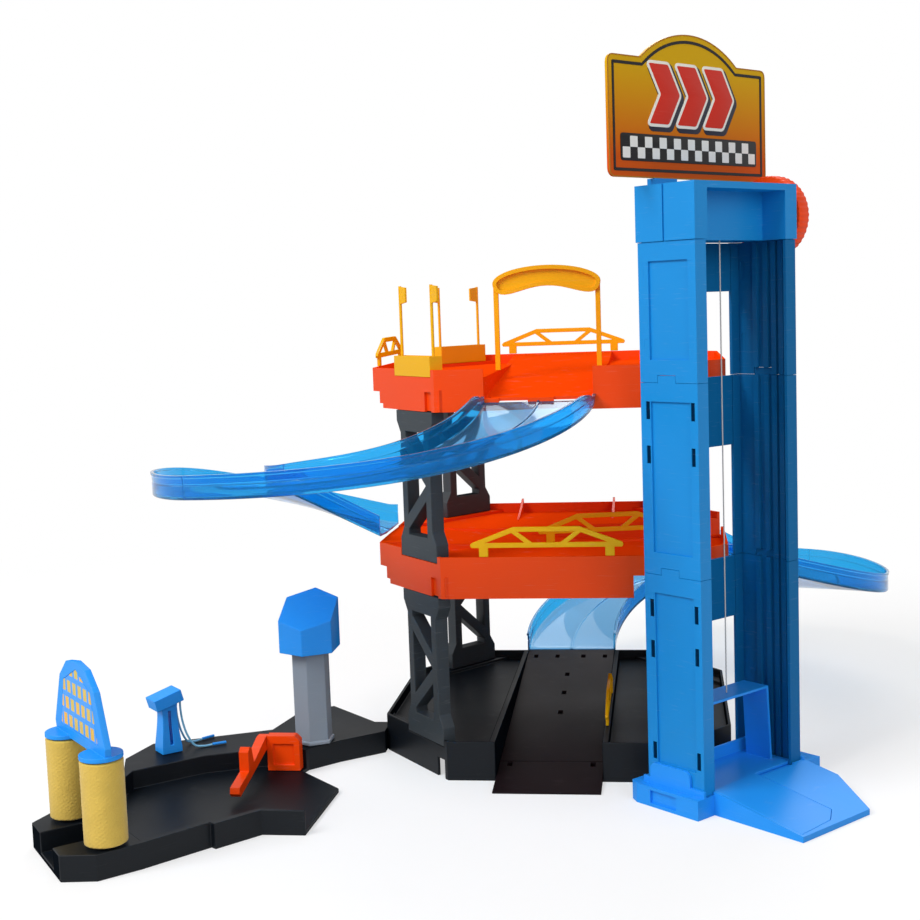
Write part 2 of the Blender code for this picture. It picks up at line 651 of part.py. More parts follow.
def rail_outlines():
    """A guard rail from its side: posts, a lower bar, and above it a shorter bar on slanted arms.

    Two braces between the bars leave a window in the middle and a triangle at each end.
    """
    half, flat = RAIL_LENGTH / 2, RAIL_LENGTH * RAIL_FLAT / 2
    foot, share = RAIL_POST
    post = RAIL_LENGTH * share
    low, high = RAIL_LIFT + RAIL_BAR, RAIL_HEIGHT - RAIL_BAR
    left = [(-half, low), (-half - RAIL_BAR / 3, RAIL_LIFT + RAIL_BAR / 2), (-half, RAIL_LIFT),
            (-post - foot / 2, RAIL_LIFT), (-post - foot / 2, 0), (-post + foot / 2, 0),
            (-post + foot / 2, RAIL_LIFT)]
    outline = [(-flat, RAIL_HEIGHT), *left, *[(-x, z) for x, z in reversed(left)],
               (flat, RAIL_HEIGHT)]
    rise = RAIL_HEIGHT - low
    arm = half - RAIL_BAR * math.hypot(half - flat, rise) / rise
    arm_run = (half - flat) * (high - low) / rise
    top = arm - arm_run - RAIL_BRACE / 2
    bottom = top / 2
    meet = (arm - bottom - RAIL_BRACE) / (arm_run + top - bottom)
    apex = (arm - arm_run * meet, low + (high - low) * meet)
    windows = [[(-top, high), (-bottom, low), (bottom, low), (top, high)]]
    for side in (-1, 1):
        windows.append([(side * arm, low), (side * (bottom + RAIL_BRACE), low),
                        (side * apex[0], apex[1])])
    return [outline, *windows]


def make_rails():
    """Five guard rails, each standing on the rim or the lane side that carries it."""
    rim = WALL / 2
    mid_top = MID_BOTTOM + DECK_HEIGHT
    top_top = TOP_BOTTOM + DECK_HEIGHT
    along = (MID_LANE_OUT - MID_LANE_IN).normalized()
    side = LANE_HALF + LANE_WALL / 2
    inner = MID_LANE_IN + along * ((MID_LANE_OUT - MID_LANE_IN).length * MID_RAIL_SHARE)
    inner += Vector((along.y, -along.x)) * side
    places = {
        "mid_front_rail": (MID_FRONT_RAIL_X, -HALF_Y + rim, mid_top, 0.0),
        "mid_inner_rail": (inner.x, inner.y, mid_top - TRAY_DEPTH + CURB,
                           math.degrees(math.atan2(along.y, along.x))),
        "top_back_rail": (0.0, HALF_Y - rim, top_top, 0.0),
        "top_left_rail": (-HALF_X + rim, 0.0, top_top, 90.0),
        "base_rail": (LANE_HALF + GAP + LANE_WALL / 2, BASE_RAIL_Y, BASE_HEIGHT, 90.0),
    }
    for name, (x, y, z, turn) in places.items():
        frame = frame_at(name + "_place", x, y, z + GAP, turn)
        mesh = plate_mesh(rail_outlines(), -RAIL_THICK / 2, RAIL_THICK / 2, "y")
        place(mesh, name, frame, "yellow")


def make_flag_stands():
    """Two boxes on the corner pads of the top deck, each with two flag poles."""
    length, depth, height = FLAG_BOX
    reach = length / 2 - 3 * FLAG_POLE_RADIUS
    for corner in ("front", "back_left"):
        name = f"flag_stand_{corner}"
        frame = corner_frame(name + "_place", corner, TOP_BOTTOM + DECK_HEIGHT - PAD_DROP + GAP)
        stand = place(box_mesh((-length / 2, length / 2), (-depth / 2, depth / 2 - GAP), (0, height)),
                      name, frame, "yellow")
        combine(stand, box_mesh((WALL - length / 2, length / 2 - WALL),
                                (WALL - depth / 2, depth / 2 - GAP - WALL), (height - WALL, height + 1)))
        for x in (-reach, reach):
            pole = round_mesh(FLAG_POLE_RADIUS, height / 2, FLAG_POLE, centre=(x, 0.0), sides=10)
            join(stand, pole)
            wide, tall = FLAG_SIZE
            flag = [(x - 0.5, FLAG_POLE - tall), (x + wide, FLAG_POLE - tall * 0.9),
                    (x + wide, FLAG_POLE - tall * 0.1), (x - 0.5, FLAG_POLE - 0.4)]
            join(stand, plate_mesh([flag], -0.8, 0.8, "y"))


def banner_outline(half, middle, height, steps=14):
    """A bean: a half ellipse above, and below two lobes that meet in a shallow notch."""
    above, below = [], []
    for step in range(steps + 1):
        t = -math.cos(math.pi * step / steps)
        round_off = math.sqrt(max(0.0, 1.0 - t * t))
        above.append((half * t, middle + 0.62 * height * round_off))
        below.append((half * t, middle - height * (0.19 + 0.75 * t * t) * round_off))
    return below + above[-2:0:-1]


def make_arch():
    """The arch over the top lane, its feet on the lane's sides."""
    foot = TOP_BOTTOM + DECK_HEIGHT - TRAY_DEPTH + CURB + GAP
    half = LANE_HALF + LANE_WALL / 2
    middle = ARCH_TOP - 0.62 * ARCH_BANNER
    banner = banner_outline(half + ARCH_LEG, middle, ARCH_BANNER)
    arch = place(plate_mesh([banner], ARCH_Y - ARCH_LEG, ARCH_Y + ARCH_LEG, "y"), "finish_arch",
                 finish="yellow")
    dish = banner_outline(half + ARCH_LEG - ARCH_RIM, middle, ARCH_BANNER * 0.72)
    combine(arch, plate_mesh([dish], ARCH_Y - ARCH_LEG - 1, ARCH_Y - ARCH_LEG / 2, "y"))
    for side in (-1, 1):
        leg = [(side * half - ARCH_LEG / 2, foot), (side * half + ARCH_LEG / 2, foot),
               (side * half + ARCH_LEG / 2, middle), (side * half - ARCH_LEG / 2, middle)]
        join(arch, plate_mesh([leg], ARCH_Y - ARCH_LEG / 2, ARCH_Y + ARCH_LEG / 2, "y"))


def side_wall_outline(side):
    """Plan of a tower side wall: a channel with guide ribs inside. Side is -1 left, 1 right."""
    outer = TOWER_LEFT
    inner = outer + TOWER_WALL
    lip = outer + TOWER_FLANGE
    points = [(outer, TOWER_FRONT), (lip, TOWER_FRONT), (lip, TOWER_FRONT + WALL),
              (inner, TOWER_FRONT + WALL)]
    out, wide = GUIDE_RIB
    for y in GUIDE_RIBS:
        points += [(inner, y - wide / 2), (inner + out, y - wide / 2),
                   (inner + out, y + wide / 2), (inner, y + wide / 2)]
    points += [(inner, TOWER_BACK - WALL), (lip, TOWER_BACK - WALL), (lip, TOWER_BACK),
               (outer, TOWER_BACK)]
    if side > 0:
        points = [(TOWER_LEFT + TOWER_RIGHT - x, y) for x, y in reversed(points)]
    return points


def tower_storeys():
    """The lower and upper heights of the tower's three storeys."""
    levels = [TOWER_FLOOR, *TOWER_SEAMS, TOWER_HEAD]
    names = ("lower", "middle", "upper")
    return [(name, low + GAP, high) for name, low, high in zip(names, levels, levels[1:])]


def make_tower_walls(frame):
    """Side walls in three storeys, stepped at the seams, with sunk panels and rows of clip slots.

    Behind the shaft a cross panel hangs below each seam.
    """
    front, back, step = SEAM_TONGUE
    for name, low, high in tower_storeys():
        for word, side in (("left", -1), ("right", 1)):
            wall = place(plate_mesh([side_wall_outline(side)], low, high), f"tower_{word}_{name}",
                         frame, "blue")
            face = TOWER_LEFT if side < 0 else TOWER_RIGHT
            combine(wall, box_mesh((face - TOWER_SUNK, face + TOWER_SUNK), (-0.4, 38.0),
                                   (low + 17, high - 14)))
            inner = face - side * TOWER_WALL
            if name != "upper":
                thick = sorted((face, inner + side * GAP))
                join(wall, box_mesh(thick, (front + GAP, back - GAP), (high - 1, high + step)))
            if name != "lower":
                reach = sorted((face + side, inner - side * (GUIDE_RIB[0] + 1)))
                combine(wall, box_mesh(reach, (front, back), (low - 1, low + step)))
            through = sorted((face + side, inner - side))
            for height in SLOT_HEIGHTS[name]:
                for slot in (SLOT_FRONT, SLOT_BACK):
                    combine(wall, box_mesh(through, slot, (height, height + SLOT_TALL)))
    left = TOWER_LEFT + TOWER_FLANGE + GAP
    right = TOWER_RIGHT - TOWER_FLANGE - GAP
    middle = (left + right) / 2
    wide, tall = BACK_HOLE
    for name, _, high in tower_storeys():
        low = high - BACK_PANELS[name]
        outline = [(left, low), (right, low), (right, high - GAP), (left, high - GAP)]
        centre = (low + high) / 2
        hole = [(middle - wide / 2, centre - tall / 2), (middle + wide / 2, centre - tall / 2),
                (middle + wide / 2, centre + tall / 2), (middle - wide / 2, centre + tall / 2)]
        mesh = plate_mesh([outline, hole], TOWER_BACK - WALL, TOWER_BACK, "y")
        place(mesh, f"tower_back_{name}", frame, "blue")


def foot_ramp_level(y):
    """Height of the tower's drive-on ramp."""
    share = (y - FOOT_RAMP_FRONT) / (TOWER_FRONT - FOOT_RAMP_FRONT)
    return FOOT_RAMP_LIP + share * (lift_floor() - FOOT_RAMP_LIP)


def lift_floor():
    """Top of the lift car's floor when the lift is down."""
    return TOWER_FLOOR + GAP + LIFT_PLATE


def make_tower_base(frame):
    """The tower's foot: floor, rims round the walls, and the ramp with its recess."""
    front = TOWER_FRONT - 2.0
    body = [(0.0, front), (FOOT_RIGHT, front), (FOOT_RIGHT, TOWER_REAR - 8), (FOOT_RIGHT - 8, TOWER_REAR),
            (4.0, TOWER_REAR), (0.0, TOWER_REAR - 8)]
    base = place(plate_mesh([body], 0.0, TOWER_FLOOR), "tower_base", frame, "bright_blue")
    profile = [(FOOT_RAMP_FRONT, 0.0), (front + 1, 0.0), (front + 1, foot_ramp_level(front + 1)),
               (FOOT_RAMP_FRONT, FOOT_RAMP_LIP)]
    flare_x, flare_y = FOOT_RAMP_FLARE
    ramp = place(plate_mesh([profile], FOOT_RAMP_LEFT, flare_x, "x"), "ramp_tool", frame)
    plan = [(FOOT_RAMP_LEFT, FOOT_RAMP_FRONT), (FOOT_RAMP_RIGHT, FOOT_RAMP_FRONT),
            (flare_x, flare_y), (flare_x, front + 1), (FOOT_RAMP_LEFT, front + 1)]
    combine(ramp, plate_mesh([plan], -1.0, TOWER_TOP), "INTERSECT")
    join(base, ramp)
    # A sloping recess lets the lift car's tongue lie flush with the ramp
    left, right = LIFT_TONGUE
    deep = LIFT_PLATE + GAP
    end = LIFT_TONGUE_END - 2 * GAP
    recess = [(end, foot_ramp_level(end) - deep), (TOWER_FRONT, TOWER_FLOOR), (TOWER_BACK, TOWER_FLOOR),
              (TOWER_BACK, TOWER_TOP), (end, TOWER_TOP)]
    room = place(plate_mesh([recess], left - GAP, right + GAP, "x"), "recess_tool", frame)
    plan = inset(tongue_plan(TOWER_BACK), [-GAP] * len(tongue_plan(TOWER_BACK)))
    combine(room, plate_mesh([plan], -1.0, TOWER_TOP + 1), "INTERSECT")
    combine(base, room)
    inner_left = TOWER_LEFT + TOWER_FLANGE
    inner_right = TOWER_RIGHT - TOWER_FLANGE
    combine(base, box_mesh((inner_left, inner_right), (TOWER_FRONT - 3, TOWER_BACK),
                           (TOWER_FLOOR, TOWER_TOP)))
    rim = 2.4
    for low, high in ((TOWER_LEFT - GAP - rim, TOWER_LEFT - GAP),
                      (TOWER_RIGHT + GAP, TOWER_RIGHT + GAP + rim)):
        join(base, box_mesh((low, high), (front, TOWER_BACK + 3), (TOWER_FLOOR - 1,
                                                                  TOWER_FLOOR + FOOT_RIM)))
    near, far, tall = SOCKET_PLATE
    round_off = tall / 3
    socket = [(near, TOWER_FLOOR - 1), (far, TOWER_FLOOR - 1),
              *arc((far - round_off, TOWER_FLOOR + tall - round_off), round_off, 0, 90, 5),
              *arc((near + round_off, TOWER_FLOOR + tall - round_off), round_off, 90, 180, 5)]
    join(base, plate_mesh([socket], TOWER_LEFT - GAP - rim, TOWER_LEFT - GAP, "x"))
    combine(base, box_mesh((-1.0, rim), SOCKET_POCKET, (WALL, TOWER_FLOOR - WALL)))
    combine(base, box_mesh((WALL + 4, FOOT_RIGHT - WALL - 4), (TOWER_FRONT + WALL, TOWER_REAR - 4 - WALL),
                           (-1.0, TOWER_FLOOR - FLOOR)))


def tongue_plan(back):
    """Plan of the lift car's tongue, from its bent front edge to the given place at its back."""
    left, right = LIFT_TONGUE
    bend = LIFT_TONGUE_BEND
    slant = right - bend
    return [(left, LIFT_TONGUE_END), (bend, LIFT_TONGUE_END + WALL),
            (right, LIFT_TONGUE_END + slant - WALL), (right, back), (left, back)]


def make_lift(frame):
    """The lift car: floor with a rear lip, a sloping tongue and the bail that the string lifts."""
    play = TOWER_WALL + GUIDE_RIB[0] + LIFT_PLAY
    left, right = TOWER_LEFT + play, TOWER_RIGHT - play
    middle = (TOWER_LEFT + TOWER_RIGHT) / 2
    under, top = TOWER_FLOOR + GAP, lift_floor()
    front, back = TOWER_FRONT + WALL + LIFT_PLAY, TOWER_BACK - WALL - 3.5
    anchor = frame_at("lift_place", 0.0, 0.0)
    anchor.parent = frame
    car = place(box_mesh((left, right), (front, back), (under, top)), "lift_platform", anchor,
                "bright_blue")
    join(car, box_mesh((left, right), (back - LIFT_PLATE, back), (under, top + LIFT_LIP)))
    tongue_left, tongue_right = LIFT_TONGUE
    end = LIFT_TONGUE_END
    seam = TOWER_FRONT
    tongue = [(end, foot_ramp_level(end) - LIFT_PLATE), (seam, foot_ramp_level(seam) - LIFT_PLATE),
              (front + 1, under), (front + 1, top), (seam, foot_ramp_level(seam)),
              (end, foot_ramp_level(end))]
    slab = place(plate_mesh([tongue], tongue_left, tongue_right, "x"), "tongue_tool", anchor)
    combine(slab, plate_mesh([tongue_plan(front + 2)], -1.0, TOWER_TOP), "INTERSECT")
    join(car, slab)
    foot, head = LIFT_BAIL_HALF
    skin = LIFT_BAIL_SKIN
    low = under + 1
    bail = [(middle - foot, low), (middle - head, LIFT_BAIL_TOP), (middle + head, LIFT_BAIL_TOP),
            (middle + foot, low), (middle + foot - skin, low),
            (middle + head - skin, LIFT_BAIL_TOP - skin), (middle - head + skin, LIFT_BAIL_TOP - skin),
            (middle - foot + skin, low)]
    join(car, plate_mesh([bail], *LIFT_BAIL, "y"))
    string_y = CRANK_Y - SPOOL_RADIUS
    string = round_mesh(STRING_RADIUS, LIFT_BAIL_TOP + GAP, CRANK_Z - SPOOL_FLANGE, sides=8,
                        centre=(middle, string_y))
    place(string, "lift_string", frame, "string")


def make_cap(frame):
    """The tower's head, with an open niche in front and the spool's chamber behind it."""
    left, right = TOWER_LEFT - 1, TOWER_RIGHT + 1
    front, back = TOWER_FRONT - 1, TOWER_BACK + 1
    low = TOWER_HEAD + GAP
    cap = place(box_mesh((left, right), (front, back), (low, TOWER_TOP)), "tower_cap", frame,
                "bright_blue")
    inner_left, inner_right = TOWER_LEFT + CAP_WALL, TOWER_RIGHT - CAP_WALL
    combine(cap, box_mesh((inner_left, inner_right), (front - 1, CAP_NICHE),
                          (low - 1, TOWER_TOP - CAP_ROOF)))
    combine(cap, box_mesh((inner_left, inner_right), (CAP_NICHE + CAP_PANEL, TOWER_BACK - 6),
                          (low - 1, TOWER_TOP - 2 * CAP_ROOF)))
    middle = (TOWER_LEFT + TOWER_RIGHT) / 2
    boss_end = right + BOSS_WIDTH
    boss = place(round_mesh(BOSS_RADIUS, right - 1, boss_end, "x", (CRANK_Y, CRANK_Z), 40),
                 "boss_tool", frame)
    combine(boss, box_mesh((right - 1, boss_end), (front, back), (low, TOWER_TOP)), "INTERSECT")
    join(cap, boss)
    combine(cap, box_mesh((left - 1, left + CAP_GROOVE[0]), CAP_GROOVE[1:], (low - 1, TOWER_TOP + 1)))
    combine(cap, round_mesh(SHAFT_RADIUS + GAP, middle, boss_end + 1, "x", (CRANK_Y, CRANK_Z), 16))
    combine(cap, round_mesh(SHAFT_RADIUS + GAP, inner_left - 5, middle, "x", (CRANK_Y, CRANK_Z), 16))
    # Two sockets on the roof hold the sign's tabs
    for x in (middle - SIGN_SIZE[0] / 5, middle + SIGN_SIZE[0] / 5):
        join(cap, box_mesh((x - 12, x + 12), (SIGN_Y - 3, SIGN_Y + SIGN_THICK + 3),
                           (TOWER_TOP - 1, TOWER_TOP + SIGN_RISE)))
        combine(cap, box_mesh((x - 8 - GAP, x + 8 + GAP), (SIGN_Y - GAP, SIGN_Y + SIGN_THICK + GAP),
                              (TOWER_TOP + 1, TOWER_TOP + SIGN_RISE + 1)))

    spool_half = SPOOL_LENGTH / 2
    axis = frame_at("crank_axis", TOWER_LEFT, CRANK_Y, CRANK_Z)
    axis.parent = frame
    start, end = inner_left - 4 - TOWER_LEFT, boss_end + WHEEL_WIDTH / 2 - TOWER_LEFT
    spool = place(round_mesh(SHAFT_RADIUS, start, end, "x", sides=16), "crank_spool", axis, "grey")
    centre = middle - TOWER_LEFT
    profile_left, profile_right = centre - spool_half, centre + spool_half
    join(spool, round_mesh(SPOOL_RADIUS - 2 * STRING_RADIUS, profile_left, profile_right, "x", sides=20))
    for low_x, high_x in ((profile_left, profile_left + 2), (profile_right - 2, profile_right)):
        join(spool, round_mesh(SPOOL_FLANGE, low_x, high_x, "x", sides=20))
    smooth(spool)

    wheel_start = boss_end + GAP - TOWER_LEFT
    wheel_end = wheel_start + WHEEL_WIDTH
    teeth = []
    for tooth in range(WHEEL_TEETH):
        for share, radius in ((0.0, WHEEL_RADIUS), (0.5, WHEEL_RADIUS), (0.6, WHEEL_RADIUS - 1),
                              (0.9, WHEEL_RADIUS - 1)):
            angle = 2 * math.pi * (tooth + share) / WHEEL_TEETH
            teeth.append((radius * math.cos(angle), radius * math.sin(angle)))
    wheel = place(plate_mesh([teeth], wheel_start, wheel_end, "x"), "crank_wheel", axis, "orange")
    combine(wheel, round_mesh(WHEEL_RADIUS - 4, wheel_end - 3, wheel_end + 1, "x", sides=32))
    combine(wheel, round_mesh(SHAFT_RADIUS + GAP, wheel_start - 1, boss_end + WHEEL_WIDTH / 2 + GAP
                              - TOWER_LEFT, "x", sides=16))


def make_sign(frame):
    """The sign board: a plate with a curved top, on two tabs."""
    width, height = SIGN_SIZE
    middle = (TOWER_LEFT + TOWER_RIGHT) / 2 - 4
    low = TOWER_TOP + SIGN_RISE + GAP
    high = low + height
    chord, rise = SIGN_ARC
    radius = (chord * chord / 4 + rise * rise) / (2 * rise)
    sweep = math.degrees(math.asin(chord / 2 / radius))
    top = arc((middle, high + rise - radius), radius, 90 - sweep, 90 + sweep, 12)
    left, right = middle - width / 2, middle + width / 2
    bend = SIGN_CORNER
    outline = [*arc((left + bend, low + bend), bend, 180, 270, 4),
               *arc((right - bend, low + bend), bend, 270, 360, 4),
               *arc((right - bend, high - bend), bend, 0, 90, 4), *top,
               *arc((left + bend, high - bend), bend, 90, 180, 4)]
    sign = place(plate_mesh([outline], SIGN_Y, SIGN_Y + SIGN_THICK, "y"), "sign_board", frame, "sign")
    centre = (TOWER_LEFT + TOWER_RIGHT) / 2
    for x in (centre - width / 5, centre + width / 5):
        join(sign, box_mesh((x - 8, x + 8), (SIGN_Y, SIGN_Y + SIGN_THICK),
                            (TOWER_TOP + 1 + GAP, low + 1)))


def station_point(x, y):
    """A place in the wash station's frame as a place on the garage's floor plan."""
    turn = Matrix.Rotation(math.radians(STATION_TURN), 2)
    return Vector(STATION) + turn @ Vector((x, y))


def make_station_tray():
    """The station's floor: a lane between two roller plinths, a kerb and a raised island."""
    link = -HALF_X - GAP
    outline = [(-371, -320), (-323, -383), (-297, -380), (-273, -357), (-236, -314), (-232, -317),
               (-205, -287), (-172, -287), (-168, -191), (-209, -148), (-206, -136), (-184, -113),
               (link, -85), (link, -56), (-164, -56), (-213, -5), (-241, -25), (-252, -82),
               (-347, -126), (-356, -168), (-345, -201), (-365, -296)]
    tray_piece = place(plate_mesh([outline], 0.0, TRAY_TOP), "station_base", finish="dark")
    gate = ROLLER_Y - ROLLER_RADIUS - 2.5
    kerb = ROLLER_Y + 8.0
    lane = [station_point(-45, -gate), station_point(22, -gate), station_point(22, -kerb),
            station_point(72, -kerb + 7), station_point(80, -kerb + 3), station_point(118, -kerb + 6),
            station_point(139, -60), station_point(160, -80), station_point(230, 0),
            station_point(225, 40), (-209, -139), (-245, -139), (-290, -158), (-338, -200),
            station_point(22, kerb + 10),
            station_point(22, gate), station_point(-45, gate)]
    combine(tray_piece, plate_mesh([lane], TRAY_FLOOR, TRAY_TOP + 1))
    island = [(-340, -186), (-290, -152), (-246, -133), (-203, -129), (-182, -108),
              (link - WALL, -80), (link - WALL, -60), (-167, -60), (-213, -10), (-237, -27),
              (-248, -85), (-343, -130), (-351, -168)]
    combine(tray_piece, plate_mesh([island], -1.0, TRAY_TOP - FLOOR))
    frame = frame_at("station_place", *STATION, 0.0, STATION_TURN)
    return frame


def make_rollers(frame):
    """Two foam rollers on fixed posts, and the sign that stands on the posts."""
    for word, y in (("left", ROLLER_Y), ("right", -ROLLER_Y)):
        spot = frame_at(f"roller_{word}_place", 0.0, y)
        spot.parent = frame
        axle = place(round_mesh(AXLE_RADIUS, TRAY_TOP + GAP, ROLLER_TOP + GAP, sides=16),
                     f"roller_axle_{word}", spot, "leg")
        join(axle, round_mesh(AXLE_RADIUS + 3, TRAY_TOP + GAP, TRAY_TOP + 1.5, sides=16))
        smooth(axle)
        low = TRAY_TOP + 1.5 + GAP
        roller = place(round_mesh(ROLLER_RADIUS, low, ROLLER_TOP - GAP, sides=32),
                       f"wash_roller_{word}", spot, "foam")
        combine(roller, round_mesh(AXLE_RADIUS + GAP, low - 1, ROLLER_TOP + 1, sides=16))
        smooth(roller)
    low = ROLLER_TOP + 2 * GAP
    half = WASH_SIGN_THICK / 2
    top = WASH_SIGN_TOP
    reach = ROLLER_Y + ROLLER_RADIUS - 2
    panel = [(-reach, low + 1), (reach, low + 1), (reach + 2, low + 9), (reach - 14, top - 16),
             (reach - 30, top - 3), (0, top), (30 - reach, top - 3), (14 - reach, top - 16),
             (-reach - 2, low + 9)]
    sign = place(plate_mesh([panel], -half, half, "x"), "wash_sign", frame, "bright_blue")
    for y in (-ROLLER_Y, ROLLER_Y):
        join(sign, round_mesh(ROLLER_RADIUS, low, low + SIGN_FEET, centre=(0.0, y), sides=32))
    deep = half - 1.4
    inlay = [(-reach + 12, low + 9), (reach - 12, low + 9), (reach - 22, top - 18),
             (0, top - 6), (22 - reach, top - 18)]
    combine(sign, plate_mesh([inlay], -half - 1, -deep, "x"))
    snug = inset(inlay, [GAP] * len(inlay))
    place(plate_mesh([snug], -half, -deep - GAP, "x"), "wash_sign_panel", frame, "yellow")


def pump_underside(x):
    """Height of the underside of the pump's tilted head, at a place along it."""
    return TRAY_TOP + GAP + PUMP_BODY[2] + math.tan(math.radians(PUMP_HEAD_TILT)) * x


def hose_route(side):
    """Points of a pump hose on the floor plan, from under the pump's head to its end."""
    low = TRAY_TOP + GAP + HOSE_RADIUS
    start = PUMP_BODY[0] / 2 + HOSE_RADIUS + GAP
    head = pump_underside(start) - GAP - HOSE_RADIUS * math.tan(math.radians(PUMP_HEAD_TILT))
    across = side * PUMP_BODY[1] * 0.28
    turn = Matrix.Rotation(math.radians(STATION_TURN), 2)
    route = []
    for out, drop, spread in HOSE_BENDS:
        spot = Vector(PUMP) + turn @ Vector((start + out, across * spread))
        route.append((spot.x, spot.y, low + (head - low) * drop))
    return route


def tube_mesh(points, radius, resolution=2):
    """A round tube on a smooth curve through the points, with a point every few diameters."""
    fine = []
    count = 24
    for step in range(count + 1):
        fine.append([fall_at([point[axis] for point in points], step / count) for axis in range(3)])
    curve = bpy.data.curves.new("tube", "CURVE")
    curve.dimensions = "3D"
    curve.bevel_depth = radius * MM
    curve.bevel_resolution = resolution
    curve.use_fill_caps = True
    line = curve.splines.new("POLY")
    line.points.add(len(fine) - 1)
    for knot, point in zip(line.points, fine):
        knot.co = (*(Vector(point) * MM), 1.0)
    return mesh_of_curve(curve)


def make_pump():
    """The fuel pump with its tilted head, two hoses and their nozzles."""
    frame = frame_at("pump_place", *PUMP, 0.0, STATION_TURN)
    wide, deep, tall = PUMP_BODY
    low = TRAY_TOP + GAP
    base, waist = wide / 2, wide / 2 - PUMP_WAIST
    body = [(-base, low), (base, low), (base, low + 5), (waist + 0.6, low + 0.55 * tall),
            (waist, low + 0.8 * tall), (waist + 1, low + tall + 2), (-waist - 1, low + tall + 2),
            (-waist, low + 0.8 * tall), (-waist - 0.6, low + 0.55 * tall), (-base, low + 5)]
    pump = place(plate_mesh([body], -deep / 2, deep / 2, "y"), "fuel_pump", frame, "bright_blue")
    taper = [(-deep / 2, low), (deep / 2, low), (deep / 2, low + 5), (waist, low + 0.7 * tall),
             (waist, low + tall + 4), (-waist, low + tall + 4), (-waist, low + 0.7 * tall),
             (-deep / 2, low + 5)]
    combine(pump, plate_mesh([taper], -wide, wide, "x"), "INTERSECT")
    head_wide, head_deep, head_tall = PUMP_HEAD
    head = box_mesh((-head_wide / 2, head_wide / 2), (-head_deep / 2, head_deep / 2), (0, head_tall))
    head.transform(Matrix.Translation(Vector((0.0, 0.0, low + tall)) * MM)
                   @ Matrix.Rotation(math.radians(-PUMP_HEAD_TILT), 4, "Y"))
    join(pump, head)
    for word, side in (("left", 1), ("right", -1)):
        route = hose_route(side)
        place(tube_mesh(route, HOSE_RADIUS), f"pump_hose_{word}", finish="hose")
        end = Vector(route[-1])
        along = (end - Vector(route[-2])).normalized()
        nozzle = round_mesh(HOSE_RADIUS + 0.3, 0.0, 12.0, "x", sides=12)
        turn = math.atan2(along.y, along.x)
        nozzle.transform(Matrix.Translation((end + along * GAP + Vector((0, 0, 0.3))) * MM)
                         @ Matrix.Rotation(turn, 4, "Z"))
        place(nozzle, f"nozzle_{word}", finish="bright_blue")


def make_barrier():
    """The exit barrier: a post, a pin and an arm that swings up."""
    x, y = BARRIER
    wide, deep, tall = BARRIER_POST
    low = TRAY_FLOOR + GAP
    left, right = x - wide / 2, x + wide / 2
    post = place(plate_mesh([[(left, low), (right, low), (right, low + tall - 4),
                              (right - 4, low + tall), (left, low + tall)]],
                            y - deep / 2, y + deep / 2, "y"), "barrier_post", finish="orange")
    combine(post, box_mesh((left + 5, right - 5), (y - deep / 2 - 1, y - deep / 2 + 2),
                           (low + 5, low + tall - 7)))
    radius = BARRIER_PIN_RADIUS
    combine(post, round_mesh(radius + GAP, left - 1, left + 8, "x", (y, BARRIER_PIN_Z), 12))
    arm_right = left - GAP
    arm_left = arm_right - BARRIER_ARM_THICK
    axis = frame_at("barrier_axis", 0.0, y, BARRIER_PIN_Z)
    reach = BARRIER_ARM
    tall, wide = BARRIER_PRONG
    near = -reach * 0.62
    outline = [(5, -5), (5, 5), (2, 7), (-6, 7), (near + wide, -3), (near + wide / 2, tall - 5),
               (near, tall - 3), (near - wide / 2, tall - 6), (near - wide / 2, -6), (-reach, -10),
               (-reach - 1, -15), (-reach + 2, -18), (near, -13), (-8, -5)]
    arm = place(plate_mesh([outline], arm_left, arm_right, "x"), "barrier_arm", axis, "orange")
    combine(arm, round_mesh(radius + GAP, arm_left + 1.5, arm_right + 1, "x", sides=12))
    place(round_mesh(radius, arm_left + 1.5 + GAP, left + 8 - GAP, "x", sides=12), "barrier_pin",
          axis, "steel")


def hexagon(radius, stretch=0.0):
    """A regular hexagon with a corner at each end of Y, lengthened along Y."""
    points = []
    for corner in range(6):
        angle = math.radians(30 + 60 * corner)
        y = radius * math.sin(angle)
        points.append((radius * math.cos(angle), y + math.copysign(stretch, y)))
    return points


def make_kiosk():
    """The six-sided pillar and its roof, whose top falls towards the front."""
    x, y = KIOSK
    low = TRAY_TOP + GAP
    column = place(plate_mesh([hexagon(KIOSK_RADIUS)], low, KIOSK_TOP), "kiosk_column",
                   finish="grey", at=(x, y, 0))
    join(column, plate_mesh([hexagon(KIOSK_RADIUS + 2)], low, low + 3))
    combine(column, plate_mesh([hexagon(KIOSK_RADIUS - WALL)], low - 1, KIOSK_TOP - WALL))
    half_x, half_y = KIOSK_ROOF
    wide = half_x / math.cos(math.radians(30))
    roof_low = KIOSK_TOP + GAP
    front, back = KIOSK_ROOF_TOP
    roof = place(plate_mesh([hexagon(wide, half_y - wide)], roof_low, back), "kiosk_roof",
                 finish="bright_blue", at=(x, y, 0))
    wedge = [(-half_y - 1, front), (half_y + 1, back), (half_y + 1, back + 9), (-half_y - 1, back + 9)]
    combine(roof, plate_mesh([wedge], -wide, wide, "x"))


def build():
    """Make every piece."""
    make_levels()
    make_exit_ramp()
    make_legs()
    make_tracks()
    make_rails()
    make_flag_stands()
    make_arch()
    tower = frame_at("tower_place", *TOWER_FOOT, 0.0, TOWER_TURN)
    make_tower_base(tower)
    make_tower_walls(tower)
    make_lift(tower)
    make_cap(tower)
    make_sign(tower)
    station = make_station_tray()
    make_rollers(station)
    make_pump()
    make_barrier()
    make_kiosk()


build()
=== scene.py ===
"""Looks of the toy garage: moulded plastic, clear tracks, foam rollers, printed sign and stage."""

